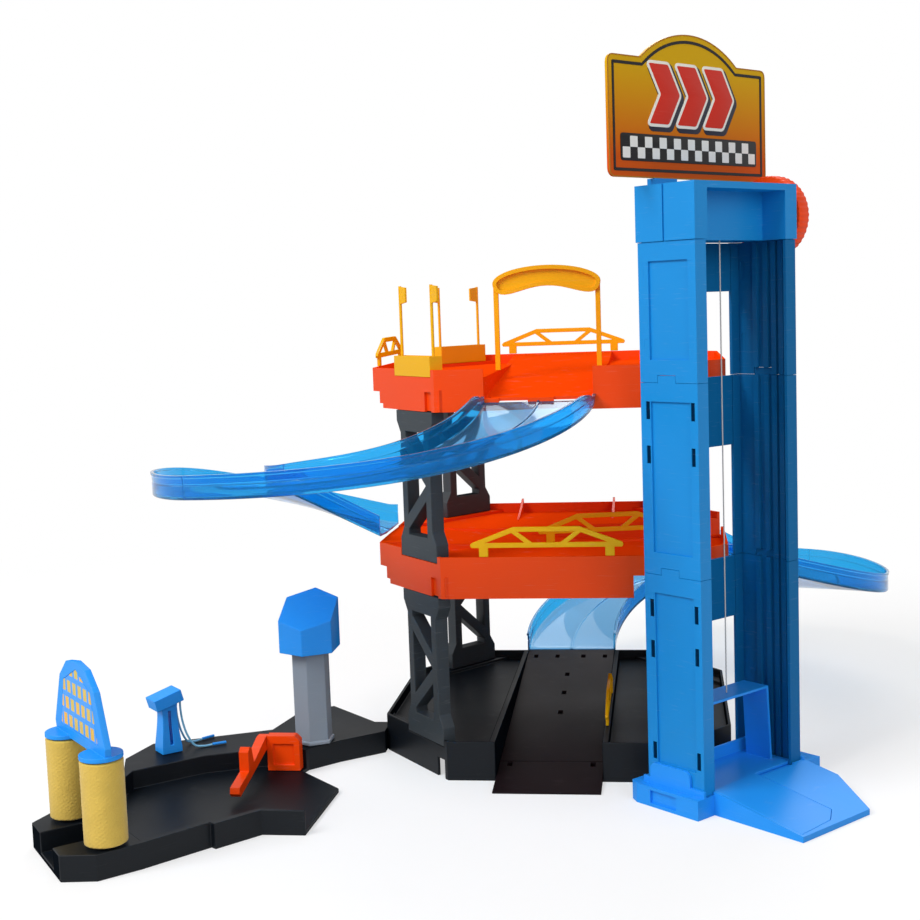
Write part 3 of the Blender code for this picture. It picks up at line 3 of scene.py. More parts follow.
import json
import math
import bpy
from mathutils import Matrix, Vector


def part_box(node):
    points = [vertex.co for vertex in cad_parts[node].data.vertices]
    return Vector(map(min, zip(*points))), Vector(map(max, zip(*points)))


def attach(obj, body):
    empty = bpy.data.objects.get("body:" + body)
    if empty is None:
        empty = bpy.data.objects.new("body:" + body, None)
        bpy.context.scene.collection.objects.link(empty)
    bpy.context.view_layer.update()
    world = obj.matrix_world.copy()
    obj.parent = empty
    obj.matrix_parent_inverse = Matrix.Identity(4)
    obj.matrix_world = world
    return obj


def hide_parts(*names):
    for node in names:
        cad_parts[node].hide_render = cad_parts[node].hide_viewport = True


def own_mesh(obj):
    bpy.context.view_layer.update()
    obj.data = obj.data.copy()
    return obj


bl_info = {
    "name": "Toy Garage Looks",
    "version": (1, 0, 0),
    "blender": (4, 5, 0),
    "location": "3D View > Sidebar > Garage",
    "description": "Finishes the pieces of a toy parking garage and sets up its stage",
    "category": "Add Mesh",
}

import bmesh
import bpy
import numpy as np
from bpy.props import FloatProperty, FloatVectorProperty, IntProperty, PointerProperty
from mathutils import Matrix, Vector

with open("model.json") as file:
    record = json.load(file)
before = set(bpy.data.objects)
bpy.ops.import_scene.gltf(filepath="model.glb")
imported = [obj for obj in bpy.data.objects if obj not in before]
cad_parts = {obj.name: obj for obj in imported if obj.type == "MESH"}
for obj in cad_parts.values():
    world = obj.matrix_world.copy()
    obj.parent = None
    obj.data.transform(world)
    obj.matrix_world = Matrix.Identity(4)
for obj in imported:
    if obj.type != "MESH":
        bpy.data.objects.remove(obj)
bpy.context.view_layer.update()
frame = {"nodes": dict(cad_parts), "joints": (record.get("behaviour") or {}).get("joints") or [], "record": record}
NODES = frame["nodes"]
JOINTS = {joint["name"]: joint for joint in frame["joints"]}
BODY_OF = {node: body for body, nodes in frame["record"]["behaviour"]["bodies"].items()
           for node in nodes}
SLOT_OF = {entry["node"]: entry["material_slot"] for entry in frame["record"]["subparts"]}
MM = 0.001

# The tower's own frame: across its front, back from it, and up
TOWER_ACROSS = -Vector(JOINTS["crank_spin"]["axis"]).normalized()
TOWER_BACK = Vector((-TOWER_ACROSS.y, TOWER_ACROSS.x, 0.0))
CRANK_PLACE = Vector(JOINTS["crank_spin"]["pos_m"])
CRANK_ACROSS = 0.010
CRANK_BACK = 0.023
TOWER_FOOT = (Vector((CRANK_PLACE.x, CRANK_PLACE.y, 0.0)) - TOWER_ACROSS * CRANK_ACROSS
              - TOWER_BACK * CRANK_BACK)


def tower_matrix():
    """The place of the tower's frame: X across its front, Y back, Z up."""
    turn = Matrix((TOWER_ACROSS, TOWER_BACK, Vector((0.0, 0.0, 1.0)))).transposed().to_4x4()
    return Matrix.Translation(TOWER_FOOT) @ turn


def corners_of(name):
    """The corners of a CAD node, in metres."""
    return np.array([vertex.co for vertex in NODES[name].data.vertices])


def colour_setting(name, description, default):
    """A linear colour among the add-on's settings."""
    return FloatVectorProperty(name=name, description=description, subtype="COLOR", size=3,
                               default=default)


class GarageColours(bpy.types.PropertyGroup):
    """Linear colours of the toy's plastics and its printed sign."""

    orange: colour_setting("Orange", "Decks, crank wheel and barrier", (0.90, 0.062, 0.002))
    tower: colour_setting("Tower blue", "Walls of the lift tower", (0.008, 0.25, 0.64))
    bright: colour_setting("Bright blue", "Tower foot and head, lift and station pieces",
                           (0.018, 0.30, 0.88))
    track: colour_setting("Track floor", "Tint of the clear tracks' floors", (0.16, 0.42, 0.70))
    # Painted shade: the walls are the floors' clear plastic, coloured deeper
    track_wall_painted_shade: colour_setting("Track wall", "Tint of the clear tracks' walls", (0.035, 0.46, 0.90))
    dark: colour_setting("Tray black", "Floor tray and station tray", (0.0045, 0.0065, 0.0095))
    ramp: colour_setting("Ramp", "Exit ramp", (0.008, 0.004, 0.0055))
    leg: colour_setting("Leg grey", "Truss legs and roller posts", (0.038, 0.046, 0.052))
    yellow: colour_setting("Yellow", "Rails, flags and arch", (0.86, 0.43, 0.002))
    foam: colour_setting("Foam", "Wash rollers", (0.66, 0.45, 0.075))
    pillar: colour_setting("Pillar grey", "Six-sided pillar", (0.25, 0.29, 0.34))
    sign_high: colour_setting("Sign top", "Upper colour of the sign's fade", (0.66, 0.38, 0.003))
    sign_low: colour_setting("Sign foot", "Lower colour of the sign's fade", (0.62, 0.085, 0.002))


class GarageFinish(bpy.types.PropertyGroup):
    """Sizes of the finish."""

    edge: FloatProperty(name="Edge", description="Rounding of the mouldings' edges",
                        subtype="DISTANCE", unit="LENGTH", default=0.0005, min=0.0, max=0.002)
    edge_steps: IntProperty(name="Edge steps", description="Facets round each edge", default=2,
                            min=1, max=4)
    grain: FloatProperty(name="Grain", description="Scale of the moulded grain", default=900.0,
                         min=10.0)
    track_steps: IntProperty(name="Track steps", description="Stations along each half of a track",
                             default=72, min=12)


class GarageStage(bpy.types.PropertyGroup):
    """The camera, lamps and floor."""

    place: FloatVectorProperty(name="Camera place", description="Where the camera stands",
                               subtype="TRANSLATION", unit="LENGTH", size=3,
                               default=(0.098, -1.308, 0.390))
    yaw: FloatProperty(name="Yaw", description="Camera turn to the left of +Y", subtype="ANGLE",
                       default=math.radians(8.03))
    pitch: FloatProperty(name="Pitch", description="Camera tilt downwards", subtype="ANGLE",
                         default=math.radians(6.12))
    roll: FloatProperty(name="Roll", description="Camera roll", subtype="ANGLE",
                        default=math.radians(2.01))
    lens: FloatProperty(name="Lens", description="Focal length on a 36 mm sensor, in millimetres",
                        default=56.94)
    floor: FloatProperty(name="Floor size", description="Side of the floor", subtype="DISTANCE",
                         unit="LENGTH", default=30.0)
    near_floor: FloatProperty(name="Near floor", subtype="DISTANCE", unit="LENGTH", default=0.8,
                              description="Reach of the floor that takes shadows")
    ambient: FloatProperty(name="Ambient", description="Strength of the white surround",
                           default=0.34)


class GarageSettings(bpy.types.PropertyGroup):
    """All settings of the add-on."""

    colours: PointerProperty(type=GarageColours)
    finish: PointerProperty(type=GarageFinish)
    stage: PointerProperty(type=GarageStage)


def settings():
    """The add-on's settings in the open scene."""
    return bpy.context.scene.toy_garage


def fill(tree, made, inputs):
    """Give each input of a shader node its value, or a link from a socket or a node.

    A node stands for its result, or else for its first output.
    """
    for name, value in inputs.items():
        if isinstance(value, bpy.types.Node):
            value = value.outputs["Result" if "Result" in value.outputs else 0]
        if isinstance(value, bpy.types.NodeSocket):
            tree.links.new(value, made.inputs[name])
        else:
            made.inputs[name].default_value = value
    return made


def shading(tree, kind, inputs=None, **properties):
    """Add a shader node, set its properties and fill its inputs."""
    made = tree.nodes.new("ShaderNode" + kind)
    for name, value in properties.items():
        setattr(made, name, value)
    return fill(tree, made, inputs or {})


def mixed(tree, factor, first, second):
    """A node that mixes two colours."""
    return shading(tree, "Mix", {"Factor": factor, "A": first, "B": second}, data_type="RGBA")


def group(name, inputs, outputs):
    """A new shader node group with its sockets, or None with the finished one of that name."""
    if name in bpy.data.node_groups:
        return bpy.data.node_groups[name], None, None
    tree = bpy.data.node_groups.new(name, "ShaderNodeTree")
    for label, kind, value in inputs:
        socket = tree.interface.new_socket(label, in_out="INPUT", socket_type=kind)
        if value is not None:
            socket.default_value = value
    for label, kind in outputs:
        tree.interface.new_socket(label, in_out="OUTPUT", socket_type=kind)
    return tree, tree.nodes.new("NodeGroupInput"), tree.nodes.new("NodeGroupOutput")


# How far the slow drift lifts a moulding's roughness at most
GLOSS_DRIFT = 0.16


def moulded_group():
    """Moulded plastic: slow drifts of shade and gloss, a fine grain and a few short scuffs."""
    tree, enter, leave = group(
        "moulded_plastic",
        [("Place", "NodeSocketVector", None), ("Colour", "NodeSocketColor", None),
         ("Drift", "NodeSocketFloat", 0.06), ("Gloss", "NodeSocketFloat", 0.4),
         ("Grain", "NodeSocketFloat", 900.0), ("Scuffs", "NodeSocketFloat", 0.1)],
        [("Colour", "NodeSocketColor"), ("Roughness", "NodeSocketFloat"),
         ("Height", "NodeSocketFloat")])
    if enter is None:
        return tree
    given = enter.outputs
    slow = shading(tree, "TexNoise", {"Vector": given["Place"], "Scale": 14.0, "Detail": 3.0})
    fine = shading(tree, "TexNoise", {"Vector": given["Place"], "Scale": given["Grain"],
                                      "Detail": 2.0})
    stretched = shading(tree, "Mapping", {"Vector": given["Place"], "Rotation": (0.4, 0.9, 0.5),
                                          "Scale": (60.0, 60.0, 900.0)})
    scratch = shading(tree, "TexNoise", {"Vector": stretched, "Scale": 1.0, "Detail": 3.0})
    mark = shading(tree, "MapRange", {"Value": scratch, "From Min": 0.62, "From Max": 0.74})
    scuff = shading(tree, "Math", {0: mark, 1: given["Scuffs"]}, operation="MULTIPLY")
    centred = shading(tree, "Math", {0: slow, 1: 0.5}, operation="SUBTRACT")
    spread = shading(tree, "Math", {0: centred, 1: given["Drift"]}, operation="MULTIPLY")
    scale = shading(tree, "Math", {0: spread, 1: 2.0, 2: 1.0}, operation="MULTIPLY_ADD")
    shade = shading(tree, "VectorMath", {0: given["Colour"], "Scale": scale}, operation="SCALE")
    pale = mixed(tree, scuff, shade, (0.75, 0.75, 0.75, 1.0))
    dull = shading(tree, "Math", {0: slow, 1: GLOSS_DRIFT, 2: given["Gloss"]},
                   operation="MULTIPLY_ADD")
    rough = shading(tree, "Math", {0: dull, 1: scuff}, operation="ADD", use_clamp=True)
    fill(tree, leave, {"Colour": pale, "Roughness": rough, "Height": fine})
    return tree


def principled(name):
    """A new material, its node tree and its Principled shader."""
    material = bpy.data.materials.new(name)
    material.use_nodes = True
    tree = material.node_tree
    return material, tree, tree.nodes["Principled BSDF"]


def moulded(name, colour, gloss=0.34, drift=0.05, scuffs=0.04, bump=0.04, shine=0.22):
    """A moulded plastic of one colour, whose mirror fades out at a flat angle, where it would show
    the white surround."""
    if name in bpy.data.materials:
        return bpy.data.materials[name]
    material, tree, shader = principled(name)
    place = shading(tree, "TexCoord").outputs["Object"]
    surface = shading(tree, "Group", {"Place": place, "Colour": (*colour, 1.0), "Drift": drift,
                                      "Gloss": gloss - GLOSS_DRIFT / 2, "Scuffs": scuffs,
                                      "Grain": settings().finish.grain},
                      node_tree=moulded_group()).outputs
    relief = shading(tree, "Bump", {"Height": surface["Height"], "Strength": bump,
                                    "Distance": 0.0004})
    facing = shading(tree, "LayerWeight").outputs["Facing"]
    glint = shading(tree, "MapRange", {"Value": facing, "From Min": 0.45, "From Max": 0.78,
                                       "To Min": shine, "To Max": 0.0})
    fill(tree, shader, {"Base Color": surface["Colour"], "Roughness": surface["Roughness"],
                        "Normal": relief, "Specular IOR Level": glint})
    return material


def slot_material(slot):
    """Finish of the record's material slots, and painted shade for the shaft's inner walls."""
    colours = settings().colours
    # Painted shade: the tower's own blue darkened to 0.55 for the shaft's inner walls and back
    shaft = [value * 0.55 for value in colours.tower]
    plain = {
        "orange": ("orange_plastic", colours.orange, dict(gloss=0.36)),
        "blue": ("tower_blue_plastic", colours.tower, dict(gloss=0.40)),
        "inner_blue": ("shaft_blue_painted_shade", shaft, dict(gloss=0.46, shine=0.1)),
        "bright_blue": ("bright_blue_plastic", colours.bright, dict(gloss=0.36)),
        "dark": ("tray_plastic", colours.dark, dict(gloss=0.42, scuffs=0.01, shine=0.2)),
        "ramp": ("ramp_plastic", colours.ramp, dict(gloss=0.50, scuffs=0.01, shine=0.1)),
        "leg": ("leg_plastic", colours.leg, dict(gloss=0.44)),
        "yellow": ("yellow_plastic", colours.yellow, dict(gloss=0.36)),
        "grey": ("pillar_plastic", colours.pillar, dict(gloss=0.36)),
        "string": ("string_thread", (0.62, 0.62, 0.60), dict(gloss=0.8)),
        "steel": ("pin_steel", (0.5, 0.5, 0.52), dict(gloss=0.3)),
        "hose": ("hose_rubber", (0.20, 0.50, 0.72), dict(gloss=0.3)),
    }
    if slot in plain:
        name, colour, values = plain[slot]
        return moulded(name, colour, **values)
    return {"foam": roller_foam, "track": clear_track, "sign": sign_fade}[slot]()


def clear_track():
    """Clear tinted plastic of the tracks, walls deeper than floor by painted shade."""
    if "clear_track" in bpy.data.materials:
        return bpy.data.materials["clear_track"]
    material, tree, shader = principled("clear_track")
    colours = settings().colours
    place = shading(tree, "TexCoord").outputs
    parts = shading(tree, "SeparateXYZ", {"Vector": place["Normal"]})
    upright = shading(tree, "Math", {0: parts.outputs["Z"]}, operation="ABSOLUTE")
    # Painted shade: upright faces take the deeper wall colour, flat faces the floor colour
    flat = shading(tree, "MapRange", {"Value": upright, "From Min": 0.4, "From Max": 0.85})
    tint = mixed(tree, flat, (*colours.track_wall_painted_shade, 1.0), (*colours.track, 1.0))
    drift = shading(tree, "TexNoise", {"Vector": place["Object"], "Scale": 22.0})
    rough = shading(tree, "MapRange", {"Value": drift, "To Min": 0.02, "To Max": 0.07})
    fill(tree, shader, {"Base Color": tint, "Roughness": rough, "IOR": 1.18,
                        "Transmission Weight": 0.88})
    return material


def sign_blocks():
    """Inlay of the wash sign: plain yellow blocks in rows on blue."""
    material, tree, shader = principled("sign_blocks")
    colours = settings().colours
    place = shading(tree, "TexCoord").outputs["Object"]
    unturned = shading(tree, "Mapping", {"Vector": place, "Rotation": (0.0, 0.0, -PUMP_TURN)})
    parts = shading(tree, "SeparateXYZ", {"Vector": unturned}).outputs
    flat = shading(tree, "CombineXYZ", {"X": parts["Y"], "Y": parts["Z"]})
    blocks = shading(tree, "TexBrick", {
        "Vector": flat, "Color1": (*colours.yellow, 1.0), "Color2": (0.62, 0.46, 0.06, 1.0),
        "Mortar": (*colours.bright, 1.0), "Scale": 1.0, "Brick Width": 0.011,
        "Row Height": 0.013, "Mortar Size": 0.0022, "Mortar Smooth": 0.1})
    fill(tree, shader, {"Base Color": blocks, "Roughness": 0.35, "Specular IOR Level": 0.2})
    return material


def roller_foam():
    """Open foam of the wash rollers: pits at two scales."""
    if "roller_foam" in bpy.data.materials:
        return bpy.data.materials["roller_foam"]
    material, tree, shader = principled("roller_foam")
    colour = settings().colours.foam
    place = shading(tree, "TexCoord").outputs["Object"]
    pores = shading(tree, "TexVoronoi", {"Vector": place, "Scale": 620.0})
    lumps = shading(tree, "TexNoise", {"Vector": place, "Scale": 90.0, "Detail": 5.0})
    pit = shading(tree, "Math", {0: pores, 1: lumps}, operation="MULTIPLY")
    tint = mixed(tree, lumps, (*[value * 0.86 for value in colour], 1.0),
                 (*[min(1.0, value * 1.10) for value in colour], 1.0))
    relief = shading(tree, "Bump", {"Height": pit, "Strength": 0.55, "Distance": 0.0006})
    fill(tree, shader, {"Base Color": tint, "Normal": relief, "Roughness": 0.92,
                        "Sheen Weight": 0.25})
    return material


def sign_fade():
    """Printed sheet of the sign: yellow above, fading to orange at its foot, with a fine screen."""
    if "sign_fade" in bpy.data.materials:
        return bpy.data.materials["sign_fade"]
    material, tree, shader = principled("sign_fade")
    colours = settings().colours
    low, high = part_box("sign_board")
    place = shading(tree, "TexCoord").outputs["Object"]
    parts = shading(tree, "SeparateXYZ", {"Vector": place})
    share = shading(tree, "MapRange", {"Value": parts.outputs["Z"], "From Min": low[2],
                                       "From Max": high[2]})
    ramp = shading(tree, "ValToRGB", {"Fac": share})
    stops = ((0.18, colours.sign_low), (0.80, colours.sign_high))
    for element, (position, colour) in zip(ramp.color_ramp.elements, stops):
        element.position = position
        element.color = (*colour, 1.0)
    screen = shading(tree, "TexNoise", {"Vector": place, "Scale": 700.0})
    relief = shading(tree, "Bump", {"Height": screen, "Strength": 0.03, "Distance": 0.0003})
    fill(tree, shader, {"Base Color": ramp, "Normal": relief, "Roughness": 0.38,
                        "Specular IOR Level": 0.12})
    return material


def finish_piece(piece, body, slot, *replaced, material=None):
    """Give a piece its finish, its body and the nodes that it stands for."""
    piece.data.materials.clear()
    piece.data.materials.append(material or slot_material(slot))
    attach(piece, body)
    if replaced:
        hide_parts(*replaced)
    return piece


def add_object(name, mesh):
    """Put a mesh in the scene at the origin."""
    made = bpy.data.objects.new(name, mesh)
    bpy.context.scene.collection.objects.link(made)
    return made


def round_edges(piece, width, steps):
    """Round the edges sharper than 24 degrees, and shade the rest smooth."""
    bevel = piece.modifiers.new("edges", "BEVEL")
    bevel.width = width
    bevel.segments = steps
    bevel.limit_method = "ANGLE"
    bevel.angle_limit = math.radians(24.0)
    bevel.harden_normals = True
    bevel.use_clamp_overlap = True
    piece.data.shade_smooth()
    flat = piece.modifiers.new("flat", "WEIGHTED_NORMAL")
    flat.weight = 100
    flat.keep_sharp = True
    return piece


def carved(mesh, tools):
    """A mesh with tools cut from it or joined on: each is a mesh and a Boolean operation."""
    made = [add_object("carving", mesh)]
    for tool, operation in tools:
        made.append(add_object("tool", tool))
        step = made[0].modifiers.new("carve", "BOOLEAN")
        step.operation = operation
        step.solver = "EXACT"
        step.object = made[-1]
    seen = made[0].evaluated_get(bpy.context.evaluated_depsgraph_get())
    result = bpy.data.meshes.new_from_object(seen)
    for thing in made:
        bpy.data.objects.remove(thing)
    return result


def soften(*names, width=None, tools=(), split=False):
    """Moulded copies of CAD nodes: carved where there are tools, with flat faces whole again, or
    split into triangles where they are thin, and every edge rounded."""
    finish = settings().finish
    made = []
    for name in names:
        mesh = NODES[name].data.copy()
        if tools:
            mesh = carved(mesh, tools)
        work = bmesh.new()
        work.from_mesh(mesh)
        bmesh.ops.remove_doubles(work, verts=work.verts, dist=1e-6)
        bmesh.ops.dissolve_limit(work, angle_limit=math.radians(0.3), verts=work.verts,
                                 edges=work.edges)
        if split:
            bmesh.ops.triangulate(work, faces=work.faces)
        work.to_mesh(mesh)
        work.free()
        piece = add_object(name + "_moulding", mesh)
        round_edges(piece, width or finish.edge, finish.edge_steps)
        made.append(finish_piece(piece, BODY_OF[name], SLOT_OF[name], name))
    return made


def patch(name, points, wrap=True, ends=True, place=None):
    """A surface on a grid of points, rows by columns, moved to a place.

    Each cell is one quad. With wrap the columns close in a ring, and with ends the first and the
    last row are shut by a face each. Points that share a place are merged.
    """
    rows, columns = points.shape[:2]
    index = np.arange(rows * columns).reshape(rows, columns)
    beside = np.roll(index, -1, axis=1) if wrap else index[:, 1:]
    here = index if wrap else index[:, :-1]
    quads = np.stack((here[:-1], beside[:-1], beside[1:], here[1:]), axis=-1).reshape(-1, 4)
    faces = quads.tolist()
    if ends:
        faces += [index[0, ::-1].tolist(), index[-1].tolist()]
    mesh = bpy.data.meshes.new(name)
    mesh.from_pydata(points.reshape(-1, 3).tolist(), [], faces)
    work = bmesh.new()
    work.from_mesh(mesh)
    bmesh.ops.remove_doubles(work, verts=work.verts, dist=1e-7)
    bmesh.ops.recalc_face_normals(work, faces=work.faces)
    work.to_mesh(mesh)
    work.free()
    if place is not None:
        mesh.transform(place)
    return mesh


def shaded(name, mesh, angle=35.0):
    """An object of the mesh, smooth up to an edge angle."""
    mesh.shade_smooth()
    mesh.set_sharp_from_angle(angle=math.radians(angle))
    return add_object(name, mesh)


def joined(name, meshes):
    """One mesh of several."""
    work = bmesh.new()
    for mesh in meshes:
        work.from_mesh(mesh)
        bpy.data.meshes.remove(mesh)
    whole = bpy.data.meshes.new(name)
    work.to_mesh(whole)
    work.free()
    return whole


def rounded(corners, radii, steps):
    """A closed outline with its corners rounded.

    Each corner C becomes the curve (1-t)^2 A + 2t(1-t) C + t^2 B, where A and B lie on its two
    sides at the corner's radius.
    """
    corners = np.asarray(corners, float)
    radii = np.broadcast_to(np.asarray(radii, float), (len(corners),))[:, None]
    before = np.roll(corners, 1, axis=0) - corners
    after = np.roll(corners, -1, axis=0) - corners
    first = corners + before / np.linalg.norm(before, axis=1, keepdims=True) * radii
    last = corners + after / np.linalg.norm(after, axis=1, keepdims=True) * radii
    t = np.linspace(0.0, 1.0, steps)[None, :, None]
    curve = ((1 - t) ** 2 * first[:, None] + 2 * t * (1 - t) * corners[:, None]
             + t ** 2 * last[:, None])
    return curve.reshape(-1, 2)


def outward(outline):
    """The unit normals of a closed flat outline that runs anticlockwise."""
    along = np.roll(outline, -1, axis=0) - np.roll(outline, 1, axis=0)
    normal = np.stack((along[:, 1], -along[:, 0]), axis=1)
    return normal / np.maximum(np.linalg.norm(normal, axis=1, keepdims=True), 1e-12)


def plate(name, outline, low, high, edge, place, steps=4):
    """A plate of a flat outline, from low to high along Z, with a rounded edge.

    Row by row the outline is drawn in by edge * (1 - sin a) and raised by edge * (1 - cos a), for a
    from 0 to a quarter turn, below and above alike.
    """
    normal = outward(outline)
    turn = np.linspace(0.0, np.pi / 2, steps)
    drawn = edge * (1 - np.sin(turn))
    risen = edge * (1 - np.cos(turn))
    inward = np.concatenate((drawn, drawn[::-1]))
    height = np.concatenate((low + risen, high - risen[::-1]))
    flat = outline[None] - normal[None] * inward[:, None, None]
    level = np.broadcast_to(height[:, None, None], flat.shape[:2] + (1,))
    return patch(name, np.concatenate((flat, level), axis=2), place=place)


def levels(rows):
    """A grid of points: each row is a flat outline and its height."""
    return np.stack([np.column_stack((flat, np.full(len(flat), level))) for flat, level in rows])


def band(name, outline, width, low, high, place):
    """A flat band along the inside of an outline: its section is a rectangle of that width."""
    inner = outline - outward(outline) * width
    rows = [(outline, low), (outline, high), (inner, high), (inner, low), (outline, low)]
    return patch(name, levels(rows), ends=False, place=place)


def slab(outline, low, high, place=None):
    """A plain prism of a flat outline, in millimetres, from low to high along Z."""
    flat = np.asarray(outline, float) * MM
    return patch("slab", levels([(flat, low * MM), (flat, high * MM)]), place=place)


def brick(x, y, z, place=None):
    """A box between the low and high values, in millimetres, given for each axis."""
    return slab([(x[0], y[0]), (x[1], y[0]), (x[1], y[1]), (x[0], y[1])], *z, place)


# A place for an outline that is given as Y and Z, and raised along X
SIDEWAYS = Matrix(((0, 0, 1, 0), (1, 0, 0, 0), (0, 1, 0, 0), (0, 0, 0, 1)))


def round_angles(count):
    """Even angles round a full turn."""
    return np.linspace(0.0, 2 * np.pi, count, endpoint=False)


def rings(reach, level, angle, centre=(0.0, 0.0)):
    """A grid of points about an upright axis: each row has its own level, and its own reach at
    every angle."""
    return np.stack((centre[0] + reach * np.cos(angle), centre[1] + reach * np.sin(angle),
                     np.broadcast_to(level[:, None], reach.shape)), axis=2)


def smooth_curve(points, count):
    """A smooth curve through points, at count even steps of its parameter.

    Between each two points it is the cubic whose slope at a point is half the step from the point
    before to the point after.
    """
    points = np.asarray(points, float)
    ends = np.concatenate(([2 * points[0] - points[1]], points, [2 * points[-1] - points[-2]]))
    place = np.linspace(0.0, len(points) - 1, count)
    index = np.minimum(place.astype(int), len(points) - 2)
    t = (place - index).reshape((-1,) + (1,) * (points.ndim - 1))
    p0, p1, p2, p3 = (ends[index + shift] for shift in range(4))
    return (p1 + 0.5 * t * (p2 - p0) + t ** 2 * (p0 - 2.5 * p1 + 2 * p2 - 0.5 * p3)
            + t ** 3 * (1.5 * (p1 - p2) + 0.5 * (p3 - p0)))


# The two falling tracks, in millimetres, as the model has them: centre and radius of the arc, the
# angle where it starts, its sweep, and the floor's height at each quarter of it
TRACKS = {
    "upper": ((-133.0, -158.3), 133.0, 0.0, -262.6, (311.0, 274.0, 256.0, 241.0, 189.5)),
    "lower": ((135.0, 164.8), 135.0, -82.5, 262.5, (153.5, 102.0, 94.0, 82.0, 33.5)),
}
LOWER_LEAD = 6.5
TRACK_HALF = 45.0
TRACK_WALL = 16.5
TRACK_SKIN = 1.8


def track_section():
    """The track's section about the middle of its floor: a U with rolled lips, a groove along the
    outside of each wall and a low rib along the floor."""
    half, wall, skin = TRACK_HALF, TRACK_WALL, TRACK_SKIN
    lip, groove, rib = 0.8, 0.5, 1.4
    right = [(half, -skin), (half, 0.50 * wall), (half - groove, 0.53 * wall),
             (half - groove, 0.58 * wall), (half, 0.61 * wall), (half, wall - 2.4),
             (half + lip, wall - 2.0), (half + lip, wall), (half - skin, wall), (half - skin, 0.0)]
    radii = [1.2, 0.2, 0.2, 0.2, 0.2, 0.3, 0.3, 0.4, 0.5, 1.2]
    rise = [(rib, 0.0), (rib * 0.5, rib * 0.7)]
    left = [(-x, z) for x, z in reversed(right)]
    corners = right + rise + [(-x, z) for x, z in reversed(rise)] + left
    return rounded(corners, radii + [0.3] * 4 + radii[::-1], 4)


def track_piece(name, which, first, last, steps, lead):
    """Half a track: its section carried along the arc, each station at its own floor height.

    A station at share s of the sweep stands at angle start + sweep * s, and a point of the section
    at (x, z) goes to radius + x from the arc's centre and to the floor's height + z. At the very
    top of the upper track the walls start low: there z above the floor is scaled by
    0.3 + 0.7 * (1 - cos(pi * u)) / 2, where u runs from 0 to 1 over the first 7 percent.
    """
    centre, radius, start, sweep, fall = TRACKS[which]
    share = np.linspace(first, last, steps)
    angle = np.radians(start + sweep * share)
    fine = np.linspace(0.0, 1.0, 1201)
    floor = np.interp(share, fine, smooth_curve(np.array(fall), len(fine)))
    section = track_section()
    reach = radius + section[:, 0]
    begun = np.clip(share / 0.07, 0.0, 1.0) if which == "upper" else np.ones_like(share)
    growth = 0.3 + 0.35 * (1 - np.cos(np.pi * begun))
    above_floor = section[:, 1] > 1.5
    wall = np.where(above_floor, section[:, 1] * growth[:, None], section[:, 1])
    points = np.stack((centre[0] + np.outer(np.cos(angle), reach),
                       centre[1] + np.outer(np.sin(angle), reach), floor[:, None] + wall), axis=2)
    if lead:
        heading = angle[-1] + math.copysign(np.pi / 2, sweep)
        run = np.array((math.cos(heading), math.sin(heading), 0.0)) * lead
        points = np.concatenate((points, points[-1:] + run))
    return patch(name, points * MM)


def trimmed(mesh, at, towards):
    """Cut a closed mesh off at a plane, and shut the cut."""
    work = bmesh.new()
    work.from_mesh(mesh)
    cut = bmesh.ops.bisect_plane(work, geom=[*work.verts, *work.edges, *work.faces], plane_co=at,
                                 plane_no=towards, clear_outer=True)["geom_cut"]
    edges = [item for item in cut if isinstance(item, bmesh.types.BMEdge)]
    bmesh.ops.contextual_create(work, geom=edges)
    bmesh.ops.recalc_face_normals(work, faces=work.faces)
    work.to_mesh(mesh)
    work.free()
    return mesh


def tower_side(x):
    """Where the slanted side of the decks beside the tower lies at a place along X."""
    behind = (TOWER_FOOT + TOWER_BACK * 0.0612) / MM
    return behind.y + (x - behind.x) * TOWER_ACROSS.y / TOWER_ACROSS.x


